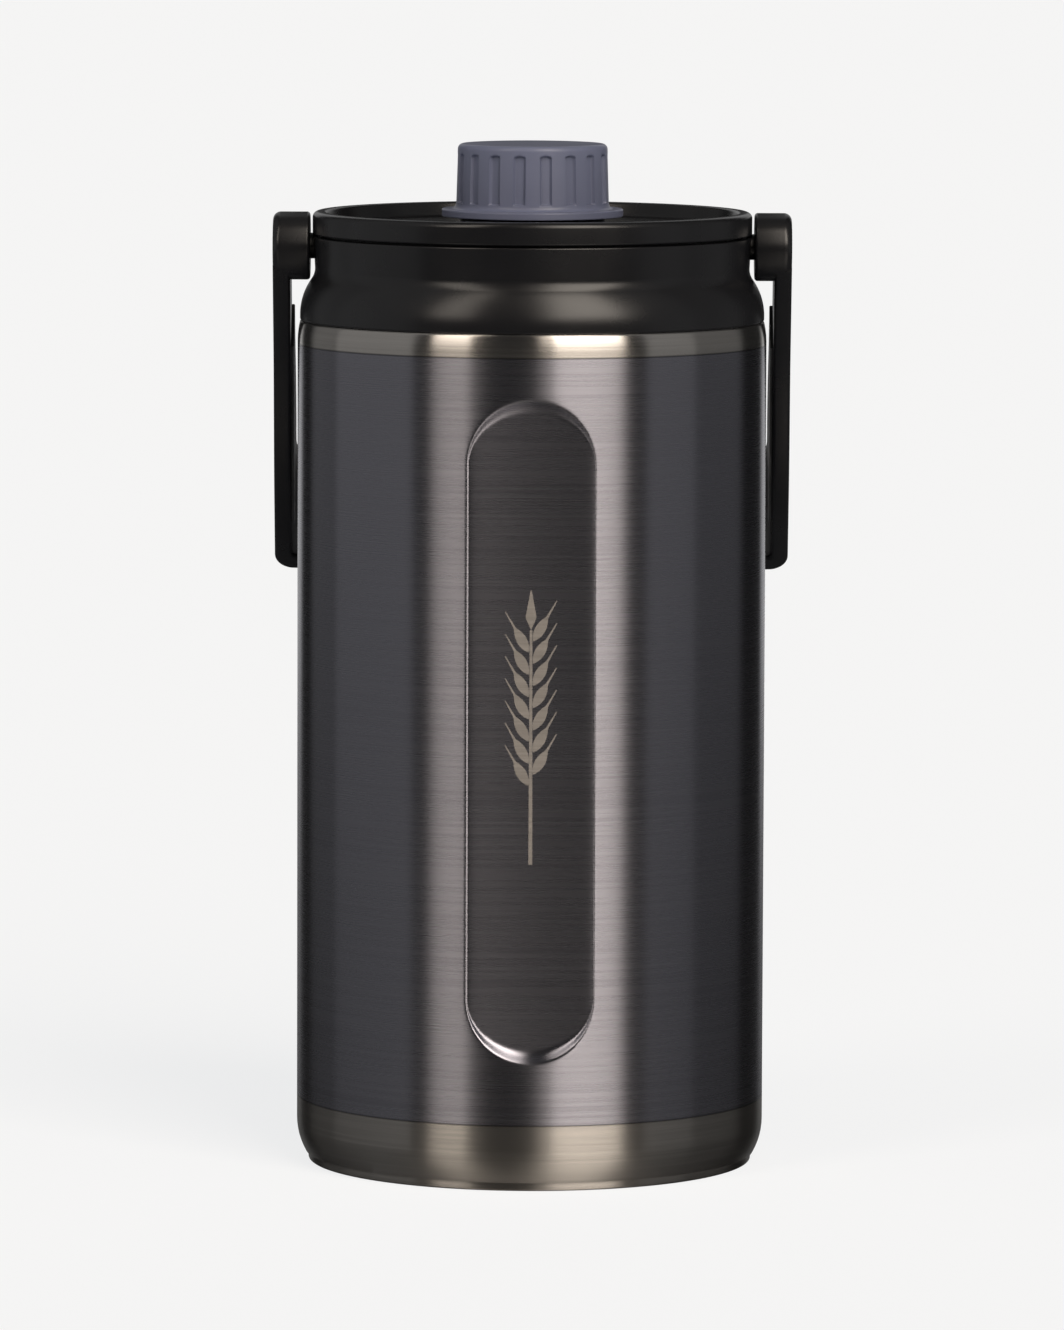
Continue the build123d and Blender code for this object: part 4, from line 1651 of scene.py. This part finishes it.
@dataclass
class BarleyEar:
    """A generic ear of barley, etched in the front hollow's floor."""

    wardrobe: Wardrobe
    vessel: SteelVessel
    low_z: float = 83.0
    stem: float = 20.0
    rows: int = 7
    row_gap: float = 5.6
    grain_l: float = 7.4
    grain_w: float = 2.9
    lean: float = 30.0
    proud: float = 0.03

    def grain(self) -> bpy.types.Object:
        """One flat grain with its awn, standing on its tip, in the XZ plane.

        Returns:
            The new object.
        """
        half, long = self.grain_w / 2, self.grain_l
        steps = (k / 14 for k in range(1, 14))
        right = [(half * math.sin(math.pi * t) ** 0.8 * (1 - 0.2 * t), long * t) for t in steps]
        awn = [(0.28, long * 1.02), (0.12, long * 1.6)]
        outline = [(0.0, 0.0), *right, *awn]
        outline += [(-x, z) for x, z in reversed(awn)] + [(-x, z) for x, z in reversed(right)]
        return mesh_object("grain", [(x, 0.0, z) for x, z in outline], [tuple(range(len(outline)))])

    def build_tree(self, grain: bpy.types.Object) -> GeometryTree:
        """Tree that sets a pair of grains at each step up the stem.

        Args:
            grain: the grain to repeat.

        Returns:
            The tree, ready to run.
        """
        tree = GeometryTree("barley", {
            "Rows": self.rows, "Row gap": self.row_gap * MM, "Lean": math.radians(self.lean),
            "Low": (self.low_z + self.stem) * MM,
        })
        info = tree.add("GeometryNodeObjectInfo", {"Object": grain})
        info.transform_space = "ORIGINAL"
        step = tree.add("ShaderNodeCombineXYZ", {2: tree.value("Row gap")})
        start = tree.add("ShaderNodeCombineXYZ", {2: tree.value("Low")})
        line = tree.add("GeometryNodeMeshLine", {
            "Count": tree.value("Rows"), "Start Location": start.outputs[0], "Offset": step.outputs[0],
        })
        sides = []
        for side in (1, -1):
            turn = tree.add("ShaderNodeCombineXYZ", {1: tree.math("MULTIPLY", tree.value("Lean"), side)})
            across = tree.add("GeometryNodeSetPosition", {
                0: line.outputs[0], "Offset": (side * 0.55 * MM, 0, (side + 1) * 0.25 * self.row_gap * MM),
            })
            sides.append(tree.add("GeometryNodeInstanceOnPoints", {
                "Points": across.outputs[0], "Instance": info.outputs["Geometry"],
                "Rotation": turn.outputs[0],
            }).outputs[0])
        both = tree.add("GeometryNodeJoinGeometry")
        for socket in sides:
            tree.tree.links.new(socket, both.inputs[0])
        tree.end(both.outputs[0], self.wardrobe.get(Look.ETCH))
        return tree

    def build(self) -> list[Piece]:
        """Builds the ear and lays it on the hollow's floor.

        Returns:
            The pieces, dressed.
        """
        grain = self.grain()
        ear = self.build_tree(grain).run(new_object("ear", bpy.data.meshes.new("ear")))
        bpy.data.objects.remove(grain)
        tip = self.low_z + self.stem + self.rows * self.row_gap
        top = mesh_object("top_grain", [
            (0, 0, tip), (1.4, 0, tip + 3.2), (0.15, 0, tip + 10), (-0.15, 0, tip + 10), (-1.4, 0, tip + 3.2),
        ], [(0, 1, 2, 3, 4)])
        stem = mesh_object("stem", [
            (-0.5, 0, self.low_z), (0.5, 0, self.low_z), (0.35, 0, tip), (-0.35, 0, tip),
        ], [(0, 1, 2, 3)])
        made = joined("etched_ear", [ear, top, stem])
        for vertex in made.data.vertices:
            x, z = vertex.co.x / MM, vertex.co.z / MM
            vertex.co.y = -(self.vessel.hollow_wall(x, z) + self.proud) * MM
        self.wardrobe.dress(made, Look.ETCH)
        for polygon in made.data.polygons:
            if polygon.normal.y > 0:
                polygon.flip()
        return [Piece(made, "vessel", "lacquered_steel")]


# -------------------------------------------------------------------------- CAD pieces


def dress_cad_nodes(wardrobe: Wardrobe, nodes: dict[str, bpy.types.Object]) -> None:
    """Gives the carried-over nodes their finishes.

    Args:
        wardrobe: where the finishes come from.
        nodes: the frame's CAD objects, by name.
    """
    looks = {
        "getter_cup": Look.STEEL, "seal_bead": Look.INNER_BLACK, "collar_seal": Look.SILICONE,
        "pivot_screws": Look.PIN_STEEL, "pivot_washers": Look.PIN_STEEL, "lid_foam": Look.FOAM,
        "spout_gasket": Look.SILICONE, "cap_seal": Look.SILICONE,
    }
    for name, look in looks.items():
        wardrobe.dress(nodes[name], look)
        LOG.info("%s keeps its shape and takes %s", name, look.value.name)


# ------------------------------------------------------------------------------- stage


BOX_LIGHT = "fff4e7"


@dataclass(frozen=True)
class LightCard:
    """A soft box or a wall of the studio, in degrees as seen from the growler.

    Azimuth 0 is the camera's and grows to the camera's right.
    """

    start: float
    end: float
    glow: float
    soft: float = 4.0
    foot: float = -60.0
    top: float = 64.0
    fade: float = 14.0
    colour: str = "ffffff"


@dataclass
class Stage:
    """Pale floor, soft studio light and the camera."""

    aim_x: float = 0.00027
    target_z: float = 0.12765
    distance: float = 2.333
    height: float = 0.364
    lens: float = 247.0
    roll: float = 0.2
    pale: str = "f5f5f5"
    table: str = "f3f4f5"
    ambient: float = 0.013
    table_r: float = 1.2
    floor_half: float = 12.0
    floor_glow: float = 0.866
    dull: float = 0.2           # how much of the light the floor and the table return
    cards: tuple[LightCard, ...] = (
        # The two boxes are a little warm; the studio's walls are neutral.
        LightCard(11.5, 47.5, 4.0, foot=14.0, top=64.0, colour=BOX_LIGHT),              # large, front right
        LightCard(4.5, 47.5, 1.45, soft=7.0, foot=14.0, top=64.0, colour=BOX_LIGHT),     # its soft inner edge
        LightCard(-51.5, -31.5, 3.2, soft=3.0, foot=14.0, top=64.0, colour=BOX_LIGHT),  # narrow, front left
        LightCard(-112.0, -60.5, 0.235, soft=5.0),   # left wall
        LightCard(-138.0, -112.0, 0.14, soft=10.0),
        LightCard(58.5, 88.0, 0.21, soft=6.0),      # right wall
        LightCard(88.0, 126.0, 0.11, soft=10.0),
        LightCard(156.0, 176.0, 0.45, soft=8.0),    # strips behind, right and left
        LightCard(-176.0, -156.0, 0.45, soft=8.0),
        LightCard(-180.0, 180.0, 0.12, foot=74.0, top=120.0, soft=1.0),
    )

    def camera(self) -> None:
        """Sets the camera at the growler's front, a little above it."""
        data = bpy.data.cameras.new("camera")
        data.lens, data.sensor_width = self.lens, 36.0
        data.clip_end = 60.0
        cam = bpy.data.objects.new("camera", data)
        bpy.context.scene.collection.objects.link(cam)
        cam.location = (0.0, -self.distance, self.height)
        aim = Vector((self.aim_x, 0.0, self.target_z)) - cam.location
        turn = aim.to_track_quat("-Z", "Y").to_matrix().to_4x4()
        cam.matrix_world = Matrix.Translation(cam.location) @ turn @ Matrix.Rotation(
            math.radians(self.roll), 4, "Z"
        )
        bpy.context.scene.camera = cam

    def floor(self) -> None:
        """Pale floor that glows evenly and takes only a faint shadow."""
        mesh = bpy.data.meshes.new("floor")
        half = self.floor_half
        corners = [(-half, -half, 0), (half, -half, 0), (half, half, 0), (-half, half, 0)]
        mesh.from_pydata(corners, [], [(0, 1, 2, 3)])
        obj = new_object("floor", mesh)
        material = bpy.data.materials.new("pale_floor")
        material.use_nodes = True
        tree = NodeTree(material.node_tree)
        material.node_tree.nodes.clear()
        glow = tree.add("ShaderNodeEmission", {"Color": linear(self.table), "Strength": self.floor_glow})
        matt = tree.add("ShaderNodeBsdfDiffuse", {"Color": (self.dull, self.dull, self.dull, 1)})
        both = tree.add("ShaderNodeAddShader", {0: glow.outputs[0], 1: matt.outputs[0]})
        # In the growler's own reflections the table is a dull mirror that ends near by.
        spot = tree.add("ShaderNodeNewGeometry").outputs[0]
        way = tree.add("ShaderNodeVectorMath", {0: spot}, operation="LENGTH")
        near = tree.math("LESS_THAN", way.outputs["Value"], self.table_r)
        mirror = (self.dull, self.dull, self.dull, 1)
        dull = tree.add("ShaderNodeBsdfAnisotropic", {"Color": mirror, "Roughness": 0.35})
        clear = tree.add("ShaderNodeBsdfTransparent")
        table = tree.add("ShaderNodeMixShader", {0: near, 1: clear.outputs[0], 2: dull.outputs[0]})
        glossy = tree.add("ShaderNodeLightPath").outputs["Is Glossy Ray"]
        chosen = tree.add("ShaderNodeMixShader", {0: glossy, 1: both.outputs[0], 2: table.outputs[0]})
        tree.add("ShaderNodeOutputMaterial", {0: chosen.outputs[0]})
        mesh.materials.append(material)
        obj.visible_shadow = False

    def sky(self) -> None:
        """Studio as seen by the growler: soft boxes at the front and the back, dark between."""
        world = bpy.data.worlds.new("studio")
        bpy.context.scene.world = world
        world.use_nodes = True
        world.node_tree.nodes.clear()
        tree = NodeTree(world.node_tree)
        way = tree.add("ShaderNodeSeparateXYZ", {0: tree.add("ShaderNodeTexCoord").outputs["Generated"]})
        x, y, z = way.outputs
        bearing = tree.math("ARCTAN2", x, tree.math("MULTIPLY", y, -1.0))
        round_about = tree.math("MULTIPLY", bearing, 180 / math.pi)
        up = tree.math("MULTIPLY", tree.math("ARCSINE", z), 180 / math.pi)

        def window(value: bpy.types.NodeSocket, low: float, high: float, soft: float) -> bpy.types.NodeSocket:
            """1 between low and high degrees, falling off over soft degrees.

            Args:
                value: the angle of the light's direction, in degrees.
                low: where the window starts.
                high: where it ends.
                soft: how many degrees each edge takes.

            Returns:
                The window's strength, from 0 to 1.
            """
            edges = ((low - soft / 2, low + soft / 2), (high + soft / 2, high - soft / 2))
            rise, fall = (
                tree.add("ShaderNodeMapRange", {0: value, 1: dark, 2: lit}, interpolation_type="SMOOTHSTEP")
                for dark, lit in edges
            )
            return tree.math("MULTIPLY", rise.outputs[0], fall.outputs[0])

        total = (self.ambient,) * 3
        for card in self.cards:
            patch = tree.math(
                "MULTIPLY", window(round_about, card.start, card.end, card.soft),
                window(up, card.foot, card.top, card.fade),
            )
            tint = tuple(channel * card.glow for channel in linear(card.colour)[:3])
            added = tree.add("ShaderNodeVectorMath", {0: patch, 1: tint, 2: total}, operation="MULTIPLY_ADD")
            total = added.outputs[0]
        studio = tree.add("ShaderNodeBackground", {"Color": total})
        pale = tree.add("ShaderNodeBackground", {"Color": linear(self.pale)})
        seen = tree.add("ShaderNodeLightPath").outputs["Is Camera Ray"]
        mix = tree.add("ShaderNodeMixShader", {0: seen, 1: studio.outputs[0], 2: pale.outputs[0]})
        tree.add("ShaderNodeOutputWorld", {0: mix.outputs[0]})

    def build(self) -> None:
        """Sets the whole stage."""
        bpy.context.scene.view_settings.view_transform = "Standard"
        self.camera()
        self.floor()
        self.sky()


# -------------------------------------------------------------------------------- main


def corner_mm(node: str, high: bool) -> Vector:
    """Highest or lowest corner of a CAD node, in millimetres."""
    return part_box(node)[1 if high else 0] / MM


def rest_lean(joint_z: float, bail: Vector, low: Vector, bar_half_w: float, bar_out: float) -> float:
    """Works out the bail's lean from the box of its frame.

    Args:
        joint_z: height of the pivot.
        bail: highest corner of the bail's frame.
        low: its lowest corner.
        bar_half_w: half the crossbar's width.
        bar_out: from the pivot to the crossbar's outer face.

    Returns:
        The angle between the arms and straight down, in degrees.
    """
    reach = math.hypot(bar_out, bar_half_w)
    wedge = math.atan2(bar_half_w, bar_out)
    behind, below = bail.y, joint_z - low.z
    guess = math.atan2(behind, below)

    def miss(lean: float) -> float:
        """How far the frame's corners would lie from the box, at a lean in radians."""
        back, down = reach * math.sin(lean + wedge), reach * math.cos(lean - wedge)
        return abs(back - behind) + abs(down - below)

    best = min((miss(guess + d / 500), d) for d in range(-150, 150))
    return math.degrees(guess + best[1] / 500)


def main() -> None:
    """Builds the growler's looks piece by piece."""
    logging.basicConfig(level=logging.INFO, format="%(name)s: %(message)s")
    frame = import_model()
    joints = {joint["name"]: joint for joint in frame["joints"]}
    pivot_z = joints["handle_swing"]["pos_m"][2] / MM
    wardrobe = Wardrobe()
    Stage().build()
    vessel = SteelVessel(
        wardrobe, body_r=corner_mm("outer_shell", True).x, ledge_z=corner_mm("collar", False).z
    )
    collar = Collar(wardrobe, vessel, pivot_z)
    lid = ScrewLid(
        wardrobe, vessel, lid_r=corner_mm("lid_shell", True).x, low_z=corner_mm("lid_shell", False).z,
        top_z=corner_mm("lid_shell", True).z,
    )
    cap = PourCap(
        wardrobe, lid, low_z=corner_mm("cap_shell", False).z, top_z=corner_mm("cap_shell", True).z,
        flange_r=corner_mm("cap_shell", True).x,
    )
    bail = BailHandle(wardrobe, pivot_z, hub_out_x=corner_mm("hub_caps", True).x, lean=0.0)
    bail.lean = rest_lean(
        pivot_z, corner_mm("handle_frame", True), corner_mm("handle_frame", False), bail.bar_half_w,
        bail.bar_out,
    )
    LOG.info("the bail leans %.2f degrees", bail.lean)
    for part in (vessel, collar, bail, lid, cap, BarleyEar(wardrobe, vessel)):
        for piece in part.build():
            piece.hand_over()
    dress_cad_nodes(wardrobe, frame["nodes"])


if __name__ == "__main__":
    main()
